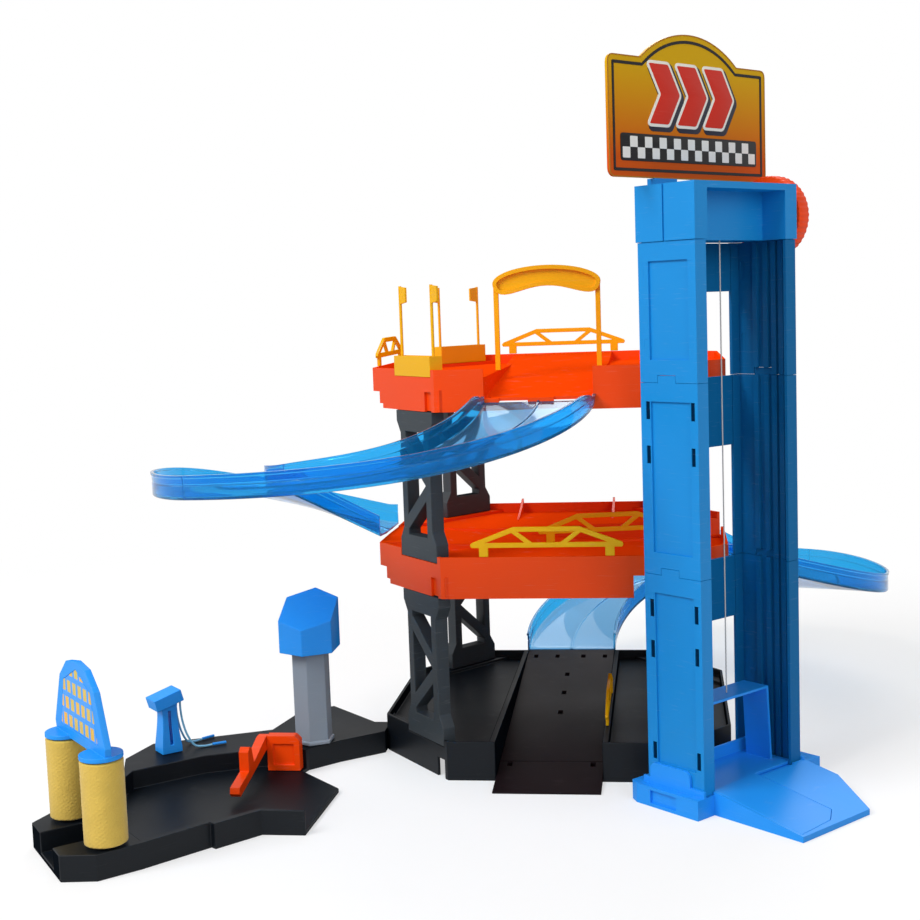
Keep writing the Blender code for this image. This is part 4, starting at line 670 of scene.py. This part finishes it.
class DeckMoulding:
    """Details of a deck's moulding, in millimetres, cut from the deck or joined to it.

    Its left and right skirts step in below a flange: first a solid ledge is joined inside the
    skirt, its ends parallel to the cut corners, and then the skirt's lower part is cut off.
    """

    wall = 2.6
    flange, step = 20.0, 7.0
    toe = (3.5, 4.0)
    corner = (65.5, 82.0)
    # How far the parking floor and its underside lie below the deck's top
    parking, underside = 9.0, 12.0
    everywhere = 200.0

    def __init__(self, name):
        self.low, self.high = (np.array(corner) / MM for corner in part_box(name))
        places = corners_of(name) / MM
        self.edge = {side: places[np.abs(places[:, 0] - x) < 0.01][:, 1]
                     for side, x in ((-1, self.low[0]), (1, self.high[0]))}
        self.tools = []

    def cut(self, mesh):
        """Cut a mesh from the deck."""
        self.tools.append((mesh, "DIFFERENCE"))

    def join(self, mesh):
        """Join a mesh to the deck."""
        self.tools.append((mesh, "UNION"))

    def skirts(self, left=(-everywhere, everywhere), right=(-everywhere, everywhere)):
        """Step both skirts, each between its own limits along Y."""
        slope = self.corner[1] / self.corner[0]
        for side, (near_limit, far_limit) in ((-1, left), (1, right)):
            outer = self.high[0] - 1.5
            inner = self.high[0] - self.step - self.wall
            ends = []
            for x in (outer, inner):
                drawn = (self.high[0] - x) * slope - 1.3
                near = self.edge[side].min() - drawn
                if side > 0:
                    near = tower_side(x) + 1.5
                ends.append((side * x, max(near, near_limit),
                             min(self.edge[side].max() + drawn, far_limit)))
            (x0, near0, far0), (x1, near1, far1) = ends
            outline = [(x0, near0), (x0, far0), (x1, far1), (x1, near1)]
            self.join(slab(outline[::side], self.low[2], self.high[2] - self.underside + 0.5))
            cuts = ((self.step, self.high[2] - self.flange),
                    (self.step + self.toe[0], self.low[2] + self.toe[1]))
            for reach, top in cuts:
                across = sorted((side * (self.high[0] + 1), side * (self.high[0] - reach)))
                self.cut(brick(across, (near_limit, far_limit), (self.low[2] - 1, top)))

    def corner_notch(self):
        """A wall behind the notch in the skirt beside the front leg, set back from it."""
        start = Vector((self.low[0] + self.corner[0], self.low[1]))
        towards = Vector((-self.corner[0], self.corner[1])).normalized()
        inwards = Vector((towards.y, -towards.x))
        corners = [tuple(start + towards * along + inwards * deep)
                   for along, deep in ((-4.0, 4.5), (22.0, 4.5), (22.0, 2.4), (-4.0, 2.4))]
        self.join(slab(corners, self.low[2] + 0.6, self.low[2] + 18.0))

    def back_holes(self):
        """A row of clip holes through the lane at the back edge."""
        level = self.high[2]
        for x in (-35.0, -11.0, 15.0, 40.0):
            self.cut(brick((x - 2.5, x + 2.5), (149.0, 151.5), (level - 8, level + 1)))

    def lane_end(self):
        """Two gaps that leave a tab in the middle of the lane's front edge, and two clip holes."""
        front, level = self.low[1], self.low[2]
        for across, near, far, top in (((-31.5, -8.3), -1, 4.5, 16), ((12.4, 37.0), -1, 4.5, 16),
                                       ((39.4, 41.4), 5, 12, 18), ((-40.6, -38.0), 4, 9, 18)):
            self.cut(brick(across, (front + near, front + far), (level + 5, level + top)))

    def fins(self):
        """Two curved fins at the back edge beside the unused lane: height rises as the square of
        the way back."""
        floor, back = self.high[2] - self.parking, self.high[1] - 0.4
        length, tall, half = 72.0, 13.5, 1.1
        way = np.linspace(0.0, 1.0, 14)
        ridge = np.column_stack((back - length * (1 - way), floor + tall * way ** 2))[::-1]
        outline = np.vstack(([(back - length, floor - 1.0), (back, floor - 1.0)], ridge))
        for x in (-45.5, 47.0):
            self.join(slab(outline, x - half, x + half, SIDEWAYS))


class GARAGE_OT_levels(bpy.types.Operator):
    """Finish the floor tray, the two parking decks and the exit ramp"""

    bl_idname = "garage.levels"
    bl_label = "Levels"

    def execute(self, context):
        mid, top = DeckMoulding("mid_deck"), DeckMoulding("top_deck")
        for deck in (mid, top):
            deck.corner_notch()
        mid.skirts(right=(-200.0, -20.0))
        mid.fins()
        top.skirts()
        top.back_holes()
        top.lane_end()
        soften("mid_deck", width=0.0008, tools=mid.tools)
        soften("top_deck", width=0.0006, tools=top.tools, split=True)
        soften("garage_base", width=0.0008)
        soften("exit_ramp")
        return {"FINISHED"}


class GARAGE_OT_legs(bpy.types.Operator):
    """Finish the six truss legs"""

    bl_idname = "garage.legs"
    bl_label = "Legs"

    def execute(self, context):
        soften(*[name for name in NODES if "_leg_" in name], width=0.0007)
        return {"FINISHED"}


class GARAGE_OT_tracks(bpy.types.Operator):
    """Make the clear falling tracks, two halves each"""

    bl_idname = "garage.tracks"
    bl_label = "Tracks"

    # Shares of the sweep: the room beside the joint of the halves, and the length that is made past
    # the deck and then trimmed. The room beside the deck is in metres
    joint_room = 0.0003
    past = 0.02
    deck_room = 0.0003

    def execute(self, context):
        steps = settings().finish.track_steps
        low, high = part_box("mid_deck")
        halves = {
            "upper_track_start": ("upper", 0.0, 0.5 - self.joint_room, 0.0),
            "upper_track_end": ("upper", 0.5 + self.joint_room, 1.0 + self.past, 0.0),
            "lower_track_start": ("lower", -self.past, 0.5 - self.joint_room, 0.0),
            "lower_track_end": ("lower", 0.5 + self.joint_room, 1.0, LOWER_LEAD),
        }
        trims = {
            "upper_track_end": ((low[0] - self.deck_room, 0.0, 0.0), (1.0, 0.0, 0.0)),
            "lower_track_start": ((high[0] + self.deck_room, 0.0, 0.0), (-1.0, 0.0, 0.0)),
        }
        for name, (which, first, last, lead) in halves.items():
            mesh = track_piece(name, which, first, last, steps, lead)
            if name in trims:
                mesh = trimmed(mesh, *trims[name])
            piece = shaded(name + "_clear", mesh, 40.0)
            finish_piece(piece, BODY_OF[name], SLOT_OF[name], name)
        return {"FINISHED"}


# The banner's height above its middle line, as a share of its whole height
BANNER_ABOVE = 0.62


def bean(half, middle, height):
    """The arch's outline: a half ellipse above, and two lobes below that meet in a shallow notch.

    With t from -1 to 1 and r = sqrt(1 - t^2), its upper edge lies at middle + 0.62 height r, and
    its lower edge at middle - height (0.12 + 0.85 t^2) r.
    """
    t = -np.cos(np.pi * np.linspace(0.0, 1.0, 29))
    r = np.sqrt(np.maximum(1 - t * t, 0.0))
    below = np.stack((half * t, middle - height * (0.12 + 0.85 * t * t) * r), axis=1)
    above = np.stack((half * t, middle + BANNER_ABOVE * height * r), axis=1)
    return np.vstack((below, above[-2:0:-1]))


class GARAGE_OT_rails(bpy.types.Operator):
    """Finish the guard rails and the flag stands, and make the arch with its dished banner"""

    bl_idname = "garage.rails"
    bl_label = "Rails, flags and arch"

    banner = 24.0
    bar = 4.2

    def execute(self, context):
        soften(*[name for name in NODES if name.endswith("_rail")])
        soften("flag_stand_front", "flag_stand_back_left", width=0.0004)
        low, high = (np.array(corner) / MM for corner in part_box("finish_arch"))
        along, middle = (low[1] + high[1]) / 2, high[2] - BANNER_ABOVE * self.banner
        upright = (Matrix.Translation((0.0, along * MM, 0.0)) @ Matrix.Diagonal((MM, MM, MM, 1.0))
                   @ Matrix.Rotation(math.pi / 2, 4, "X"))
        outline = bean(high[0] - 3.5, middle, self.banner)
        parts = [plate("banner", outline, -self.bar, 1.0, 0.8, upright),
                 band("rim", outline, 3.6, 0.8, self.bar, upright)]
        for x in (6.0 - high[0], high[0] - 6.0):
            parts.append(brick((x - self.bar / 2, x + self.bar / 2),
                               (along - self.bar / 2, along + self.bar / 2), (low[2], middle)))
        piece = add_object("finish_arch_dished", joined("finish_arch_dished", parts))
        round_edges(piece, 0.0008, 3)
        finish_piece(piece, BODY_OF["finish_arch"], SLOT_OF["finish_arch"], "finish_arch")
        return {"FINISHED"}


class GARAGE_OT_tower(bpy.types.Operator):
    """Finish the lift tower: foot, walls, cross panels and head"""

    bl_idname = "garage.tower"
    bl_label = "Tower"

    # The clip slots in the side walls, in millimetres: their heights, what they take up below and
    # above those, and where they lie along the wall
    slots = {"lower": (35.0, 115.0, 147.0), "middle": (265.0, 298.5), "upper": (345.0, 402.0)}
    slot_reach = (-1.0, 14.5)
    slot_places = ((-5.3, -0.9), (38.7, 43.3))
    # The walls' outer and inner faces
    walls = {"left": (10.0, 13.0), "right": (127.0, 124.0)}
    # Depths in a wall of the skin behind its slots and of the painted shade, as shares of the wall
    skins = {"lower": (0.45, 0.92), "middle": (0.45, 0.92), "upper": (0.05, 0.80)}
    painted_shades = {"lower": (0.3, 0.47), "middle": (0.3, 0.47)}

    def execute(self, context):
        soften("tower_base", width=0.0007)
        cap, = soften("tower_cap", width=0.0014)
        cap.data.materials[0] = slot_material("blue")
        for storey in self.slots:
            panel, = soften(f"tower_back_{storey}", width=0.0006)
            # Painted shade: the back panel takes the darkened copy of the tower blue
            panel.data.materials[0] = slot_material("inner_blue")
            for side in self.walls:
                name = f"tower_{side}_{storey}"
                tools = [(mesh, "UNION") for mesh in self.fillings(side, storey, self.skins)]
                wall, = soften(name, width=0.0006, tools=tools)
                # Painted shade: the right wall takes the darkened copy of the tower blue
                if side == "right":
                    wall.data.materials[0] = slot_material("inner_blue")
                # Painted shade: a dark blue sheet in each clip slot stands in for the shadow inside it
                if storey in self.painted_shades:
                    shade = f"slot_painted_shade_{side}_{storey}"
                    mesh = joined(shade, self.fillings(side, storey, self.painted_shades))
                    finish_piece(shaded(shade, mesh), BODY_OF[name], "blue",
                                 material=moulded("slot_painted_shade", (0.001, 0.018, 0.055), gloss=0.6,
                                                  shine=0.0))
        return {"FINISHED"}

    def fillings(self, side, storey, depths):
        """A brick in each clip slot of a wall, between two depths in it."""
        outer, inner = self.walls[side]
        across = sorted(outer + (inner - outer) * share for share in depths[storey])
        below, above = self.slot_reach
        return [brick(across, along, (height + below, height + above), tower_matrix())
                for height in self.slots[storey] for along in self.slot_places]


class GARAGE_OT_lift(bpy.types.Operator):
    """Finish the lift car and its string"""

    bl_idname = "garage.lift"
    bl_label = "Lift"

    def execute(self, context):
        soften("lift_platform", width=0.0005)
        low, high = (np.array(corner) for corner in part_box("lift_string"))
        middle = (low + high) / 2
        radius = (high[0] - low[0]) / 2
        turns, strands = 40, 3
        rise = np.linspace(low[2], high[2], turns * 6)
        around = round_angles(12)
        lay = 2 * np.pi * turns * (rise - low[2]) / (high[2] - low[2])
        reach = radius * (0.86 + 0.14 * np.cos(strands * (around[None] + lay[:, None])))
        mesh = patch("lift_string_thread", rings(reach, rise, around, middle))
        string = shaded("lift_string_thread", mesh, 80.0)
        finish_piece(string, BODY_OF["lift_string"], SLOT_OF["lift_string"], "lift_string")
        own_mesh(string)
        return {"FINISHED"}


class GARAGE_OT_crank(bpy.types.Operator):
    """Make the knurled crank wheel and finish its spool"""

    bl_idname = "garage.crank"
    bl_label = "Crank"

    def execute(self, context):
        soften("crank_spool", width=0.0003)
        along = (corners_of("crank_wheel") - np.array(CRANK_PLACE)) @ np.array(TOWER_ACROSS)
        start, end = float(along.min()), float(along.max())
        radius, web, rim = 0.032, 0.003, 0.004
        # Along the wheel's section: radius, height, and how much of the knurl it takes
        profile = np.array([
            (0.0, start, 0.0), (0.0028, start, 0.0), (radius - 0.0016, start, 0.6),
            (radius - 0.0004, start + 0.0005, 0.9), (radius, start + 0.0016, 1.0),
            (radius, end - 0.0016, 1.0), (radius - 0.0004, end - 0.0005, 0.9),
            (radius - 0.0016, end, 0.6), (radius - rim, end, 0.0),
            (radius - rim - 0.0006, end - 0.0006, 0.0), (radius - rim - 0.0010, end - web, 0.0),
            (0.0070, end - web, 0.0), (0.0064, end - web + 0.0006, 0.0),
            (0.0060, end - 0.0012, 0.0), (0.0, end - 0.0010, 0.0)])
        teeth, depth = 44, 0.0006
        angle = round_angles(12 * teeth)
        dip = depth * (1 - np.cos(teeth * angle)) / 2
        reach = profile[:, :1] - profile[:, 2:] * dip[None]
        axis = (Matrix.Translation(CRANK_PLACE)
                @ TOWER_ACROSS.to_track_quat("Z", "Y").to_matrix().to_4x4())
        mesh = patch("crank_wheel", rings(reach, profile[:, 1], angle), place=axis)
        finish_piece(shaded("crank_wheel_knurled", mesh, 32.0), BODY_OF["crank_wheel"], "orange",
                     "crank_wheel")
        return {"FINISHED"}


def sign_outline(width, height, chord, rise, drawn=0.0):
    """The sign's outline in millimetres about the middle of its foot: a rectangle with rounded
    corners whose top swells in an arc. The drawn-in arc starts where it meets the drawn-in top."""
    ball = (chord * chord / 4 + rise * rise) / (2 * rise)
    reach = ball - drawn
    sweep = math.acos((ball - rise - drawn) / reach)
    angle = np.linspace(np.pi / 2 - sweep, np.pi / 2 + sweep, 25)
    arch = np.stack((reach * np.cos(angle), height + rise - ball + reach * np.sin(angle)), axis=1)
    half = width / 2 - drawn
    box = rounded([(-half, height - drawn), (-half, drawn), (half, drawn), (half, height - drawn)],
                  max(6.0 - drawn, 1.0), 8)
    return np.vstack((box, arch))


def printed(name, colour):
    """Printing ink on the signs."""
    return moulded(name, colour, gloss=0.3, drift=0.03, scuffs=0.02, bump=0.02)


class GARAGE_OT_sign(bpy.types.Operator):
    """Make the sign: a printed board with a border, a plain chevron device and a chequered band"""

    bl_idname = "garage.sign"
    bl_label = "Sign"

    # The prints start this far in the board, in millimetres
    sunk = -0.02

    def execute(self, context):
        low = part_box("sign_board")[0][2] / MM
        turn = np.array(tower_matrix().inverted())[:3, :3]
        local = (turn @ (corners_of("sign_board") - np.array(TOWER_FOOT)).T).T / MM
        board = local[local[:, 2] > low + 3.0]
        left, right = local[:, 0].min(), local[:, 0].max()
        front = local[:, 1].min()
        foot = board[:, 2].min()
        width, chord, rise = right - left, 110.0, 20.0
        height = local[:, 2].max() - foot - rise
        self.origin = tower_matrix() @ Matrix.Diagonal((MM, MM, MM, 1.0)) @ Matrix.Translation(
            ((left + right) / 2, front, foot)) @ Matrix.Rotation(math.pi / 2, 4, "X")
        outline = sign_outline(width, height, chord, rise)
        soften("sign_board", width=0.0003)
        black = printed("sign_black_ink", (0.006, 0.005, 0.006))
        self.put(band("sign_edge", outline, 0.9, self.sunk, 0.28, self.origin),
                 printed("sign_edge_ink", (0.42, 0.16, 0.003)))
        border = sign_outline(width, height, chord, rise, drawn=4.5)
        self.put(band("sign_border", border, 2.2, self.sunk, 0.3, self.origin), black)
        self.device()
        self.chequers(width, black)
        return {"FINISHED"}

    def put(self, mesh, material):
        """Lay a print on the board, under its mesh's name."""
        finish_piece(shaded(mesh.name, mesh), BODY_OF["sign_board"], "sign", material=material)

    def device(self):
        """Three chevrons side by side, each with a dark shadow, a pale rim and a red face."""
        middle, tall, wide, lean, flat = 62.0, 44.0, 25.0, 13.0, 4.0
        chevron = [(-wide / 2, -tall / 2), (wide / 2 - flat, -tall / 2),
                   (wide / 2 + lean - flat, 0.0), (wide / 2 - flat, tall / 2),
                   (-wide / 2, tall / 2), (lean - wide / 2, 0.0)]
        shape = rounded(chevron, 1.6, 5)
        layers = [("shadow", 3.4, 0.35, (0.01, 0.012, 0.03), (2.2, -2.2)),
                  ("rim", 2.2, 0.6, (0.86, 0.84, 0.76), (0.0, 0.0)),
                  ("face", 0.0, 0.85, (0.62, 0.022, 0.008), (0.0, 0.0))]
        for word, grown, top, colour, (aside, down) in layers:
            meshes = []
            for x in (-34.0, -3.0, 28.0):
                placed = shape + outward(shape) * grown + (x + aside, middle + down)
                meshes.append(plate("chevron", placed, self.sunk, top, 0.12, self.origin))
            self.put(joined(f"sign_chevron_{word}", meshes), printed(f"sign_{word}_ink", colour))

    def chequers(self, width, black):
        """A chequered band along the foot: a dark strip with two rows of pale squares."""
        half, low, side, margin = width / 2 - 12.0, 12.0, 8.0, 2
        high = low + 2 * side + 2 * margin
        strip = rounded([(-half, low), (half, low), (half, high), (-half, high)], 2.5, 5)
        self.put(plate("sign_strip", strip, self.sunk, 0.45, 0.12, self.origin), black)
        count = int((2 * half - 2 * margin) / side)
        squares = []
        for column in range(count):
            x = column * side - count * side / 2
            y = low + margin + side * (column % 2)
            square = rounded([(x, y), (x + side, y), (x + side, y + side), (x, y + side)], 0.5, 3)
            squares.append(plate("square", square, 0.0, 0.6, 0.08, self.origin, steps=2))
        self.put(joined("sign_squares", squares), printed("sign_pale_ink", (0.85, 0.83, 0.78)))


class GARAGE_OT_wash(bpy.types.Operator):
    """Make the foam rollers and finish their posts and the sign on them"""

    bl_idname = "garage.wash"
    bl_label = "Wash rollers"

    # The rounding of a roller's ends, the radius of its bore, and how far its foam is drawn in and
    # how high its lumps rise
    edge = 0.0012
    bore = 0.0043
    foam_drawn, foam_lumps = 0.00012, 0.00006

    def execute(self, context):
        for side in ("left", "right"):
            name = f"wash_roller_{side}"
            mesh = self.roller(name, JOINTS[f"roller_{side}_spin"]["pos_m"])
            finish_piece(shaded(name + "_foam", mesh, 50.0), BODY_OF[name], SLOT_OF[name], name)
            soften(f"roller_axle_{side}", width=0.0003)
        soften("wash_sign", width=0.0006)
        inlay, = soften("wash_sign_panel", width=0.0002)
        inlay.data.materials[0] = sign_blocks()
        return {"FINISHED"}

    def roller(self, name, spot):
        """A foam roller with rounded ends, an uneven surface and a bore."""
        low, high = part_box(name)
        radius = (high[0] - low[0]) / 2
        level = low[2] + np.linspace(0.0, 1.0, 90) * (high[2] - low[2])
        near = np.minimum(level - low[2], high[2] - level)
        inside = np.maximum(self.edge - near, 0.0)
        drawn = self.edge - np.sqrt(np.maximum(self.edge ** 2 - inside ** 2, 0.0))
        angle, up = round_angles(160), level[:, None]
        lumps = (np.sin(7 * angle + 900 * up) * np.sin(1300 * up + 3 * angle)
                 + np.sin(23 * angle - 2100 * up))
        reach = radius - drawn[:, None] - self.foam_drawn + self.foam_lumps * lumps
        shell = rings(reach, level, angle, spot)
        hole = rings(np.full((2, len(angle)), self.bore), np.array((high[2], low[2])), angle, spot)
        return patch(name, np.concatenate((shell, hole, shell[:1])), ends=False)


# The hoses' routes in the pump's own frame, in millimetres, as the model has them: out from the
# hose's start, share of its height, and spread to its side
PUMP_AT = (-325.0, -147.0)
PUMP_TURN = math.radians(42.0)
HOSE_START = (10.2, 4.76, 62.99)
HOSE_LOW = 20.7
HOSE_RADIUS = 0.9
HOSE_BENDS = ((0.0, 1.0, 1.0), (0.2, 0.8, 1.0), (1.4, 0.55, 1.1), (4.5, 0.28, 1.3),
              (10.0, 0.05, 1.6), (17.0, 0.0, 1.9), (25.0, 0.0, 2.2))


def hose_route(side):
    """The points that a hose follows, on the floor plan."""
    start, across, head = HOSE_START
    out, drop, spread = np.array(HOSE_BENDS).T
    x, y = start + out, side * across * spread
    turned_x = PUMP_AT[0] + x * math.cos(PUMP_TURN) - y * math.sin(PUMP_TURN)
    turned_y = PUMP_AT[1] + x * math.sin(PUMP_TURN) + y * math.cos(PUMP_TURN)
    return np.stack((turned_x, turned_y, HOSE_LOW + (head - HOSE_LOW) * drop), axis=1)


def tube(name, route, radius):
    """A round tube carried along a route: each ring lies square to it."""
    along = np.gradient(route, axis=0)
    along /= np.linalg.norm(along, axis=1, keepdims=True)
    side = np.cross(along, (0.0, 1.0, 0.0))
    side /= np.linalg.norm(side, axis=1, keepdims=True)
    third = np.cross(along, side)
    angle = round_angles(16)[None, :, None]
    return patch(name, route[:, None] + radius * (np.cos(angle) * side[:, None]
                                                  + np.sin(angle) * third[:, None]))


class GARAGE_OT_station(bpy.types.Operator):
    """Finish the station: tray, pump with its hoses, barrier and pillar"""

    bl_idname = "garage.station"
    bl_label = "Station"

    def execute(self, context):
        soften("station_base", width=0.0008)
        pump = (Matrix.Translation((PUMP_AT[0] * MM, PUMP_AT[1] * MM, 0.0))
                @ Matrix.Rotation(PUMP_TURN, 4, "Z"))
        gap = brick((-1.4, 1.2), (-20.0, 20.0), (27.0, 56.0), pump)
        soften("fuel_pump", width=0.0005, tools=[(gap, "DIFFERENCE")])
        soften("kiosk_roof", "kiosk_column", width=0.0007)
        soften("barrier_post", "barrier_arm", "barrier_pin", width=0.0005)
        for word, side in (("left", 1), ("right", -1)):
            nozzle, = soften(f"nozzle_{word}", width=0.0002)
            route = smooth_curve(hose_route(side), 60) * MM
            name = f"pump_hose_{word}"
            hose = shaded(name + "_tube", tube(name, route, HOSE_RADIUS * MM), 60.0)
            finish_piece(hose, BODY_OF[name], SLOT_OF[name], name)
        return {"FINISHED"}


def seen_ray(tree):
    """A mask of the rays by which the surround is seen: camera, transmission and glossy rays."""
    path = shading(tree, "LightPath").outputs
    either = shading(tree, "Math", {0: path["Is Camera Ray"], 1: path["Is Transmission Ray"]},
                     operation="MAXIMUM")
    return shading(tree, "Math", {0: either, 1: path["Is Glossy Ray"]}, operation="MAXIMUM")


def grey(value):
    """An opaque grey."""
    return (value, value, value, 1.0)


def floor_material(stage):
    """A white studio floor: near the object it takes the shadow, and farther out it is plain white
    to the camera, in reflections and through clear plastic."""
    material, tree, shader = principled("studio_floor")
    place = shading(tree, "TexCoord").outputs["Object"]
    middle = shading(tree, "VectorMath", {0: place, 1: (-0.05, 0.0, 0.0)}, operation="DISTANCE")
    far = shading(tree, "MapRange", {"Value": middle.outputs["Value"], "To Min": 0.55,
                                     "From Min": stage.near_floor,
                                     "From Max": 1.6 * stage.near_floor},
                  interpolation_type="SMOOTHSTEP")
    seen = seen_ray(tree)
    white = shading(tree, "Math", {0: far, 1: seen}, operation="MULTIPLY")
    grain = shading(tree, "TexNoise", {"Vector": place, "Scale": 40.0})
    tone = mixed(tree, grain, grey(0.94), grey(0.96))
    shown = mixed(tree, seen, grey(0.55), tone)
    base = mixed(tree, white, shown, grey(0.0))
    fill(tree, shader, {"Base Color": base, "Emission Color": grey(1.0), "Emission Strength": white,
                        "Roughness": 0.9, "Specular IOR Level": 0.0})
    return material


class GARAGE_OT_stage(bpy.types.Operator):
    """Set up the camera, the lamps, the white surround and the floor"""

    bl_idname = "garage.stage"
    bl_label = "Stage"

    # Each lamp's place, size and power
    lamps = {
        "key": ((-1.9, -1.9, 2.4), 1.7, 96.0),
        "fill": ((1.6, -2.4, 1.6), 1.9, 29.0),
        "back": ((0.3, 2.2, 2.2), 1.6, 34.0),
    }

    def execute(self, context):
        stage = settings().stage
        self.camera(stage)
        self.floor(stage)
        self.surround(stage)
        for name, (place, size, power) in self.lamps.items():
            self.lamp(name, place, size, power)
        view = bpy.context.scene.view_settings
        view.view_transform = "Standard"
        return {"FINISHED"}

    @staticmethod
    def camera(stage):
        """The camera looks to the left of +Y by the yaw and down by the pitch, then rolls."""
        data = bpy.data.cameras.new("camera")
        data.sensor_width = 36.0
        data.lens = stage.lens
        data.clip_end = 100.0
        viewer = add_object("camera", data)
        turn = (Matrix.Rotation(stage.yaw, 4, "Z")
                @ Matrix.Rotation(math.pi / 2 - stage.pitch, 4, "X")
                @ Matrix.Rotation(-stage.roll, 4, "Z"))
        viewer.matrix_world = Matrix.Translation(stage.place) @ turn
        bpy.context.scene.camera = viewer

    @staticmethod
    def floor(stage):
        """A flat floor below the object."""
        half = stage.floor / 2
        corners = np.array([[(-half, y, 0.0), (half, y, 0.0)] for y in (-half, half)])
        mesh = patch("studio_floor", corners, wrap=False, ends=False)
        mesh.materials.append(floor_material(stage))
        add_object("studio_floor", mesh)

    @staticmethod
    def surround(stage):
        """A white world: full white to the camera, in reflections and through clear plastic."""
        world = bpy.data.worlds.new("white_surround")
        bpy.context.scene.world = world
        world.use_nodes = True
        tree = world.node_tree
        strength = shading(tree, "MapRange", {"Value": seen_ray(tree), "To Min": stage.ambient,
                                              "To Max": 1.0})
        fill(tree, tree.nodes["Background"], {"Color": grey(1.0), "Strength": strength})

    @staticmethod
    def lamp(name, place, size, power):
        """A square soft lamp that faces the middle of the object."""
        data = bpy.data.lights.new(name, "AREA")
        data.size = size
        data.energy = power
        lamp = add_object(name, data)
        lamp.location = place
        aim = Vector((0.0, 0.0, 0.2)) - Vector(place)
        lamp.rotation_euler = aim.to_track_quat("-Z", "Y").to_euler()


PIECES = (GARAGE_OT_stage, GARAGE_OT_station, GARAGE_OT_levels, GARAGE_OT_legs, GARAGE_OT_tracks,
          GARAGE_OT_rails, GARAGE_OT_tower, GARAGE_OT_lift, GARAGE_OT_crank, GARAGE_OT_sign,
          GARAGE_OT_wash)


class GARAGE_PT_sidebar(bpy.types.Panel):
    """Settings and buttons in the 3D view's sidebar"""

    bl_idname = "GARAGE_PT_sidebar"
    bl_label = "Toy Garage"
    bl_space_type = "VIEW_3D"
    bl_region_type = "UI"
    bl_category = "Garage"

    def draw(self, context):
        chosen = context.scene.toy_garage
        for part in (chosen.colours, chosen.finish, chosen.stage):
            box = self.layout.box()
            for name in part.bl_rna.properties.keys():
                if name not in ("rna_type", "name"):
                    box.prop(part, name)
        column = self.layout.column(align=True)
        for piece in PIECES:
            column.operator(piece.bl_idname)


CLASSES = (GarageColours, GarageFinish, GarageStage, GarageSettings, *PIECES, GARAGE_PT_sidebar)


def register():
    """Register the classes and put the settings on the scene."""
    for item in CLASSES:
        bpy.utils.register_class(item)
    bpy.types.Scene.toy_garage = PointerProperty(type=GarageSettings)


def unregister():
    """Remove the settings and the classes."""
    del bpy.types.Scene.toy_garage
    for item in reversed(CLASSES):
        bpy.utils.unregister_class(item)


def main():
    """Make the scene."""
    register()
    for piece in PIECES:
        area, action = piece.bl_idname.split(".")
        getattr(getattr(bpy.ops, area), action)()


if __name__ == "__main__":
    main()
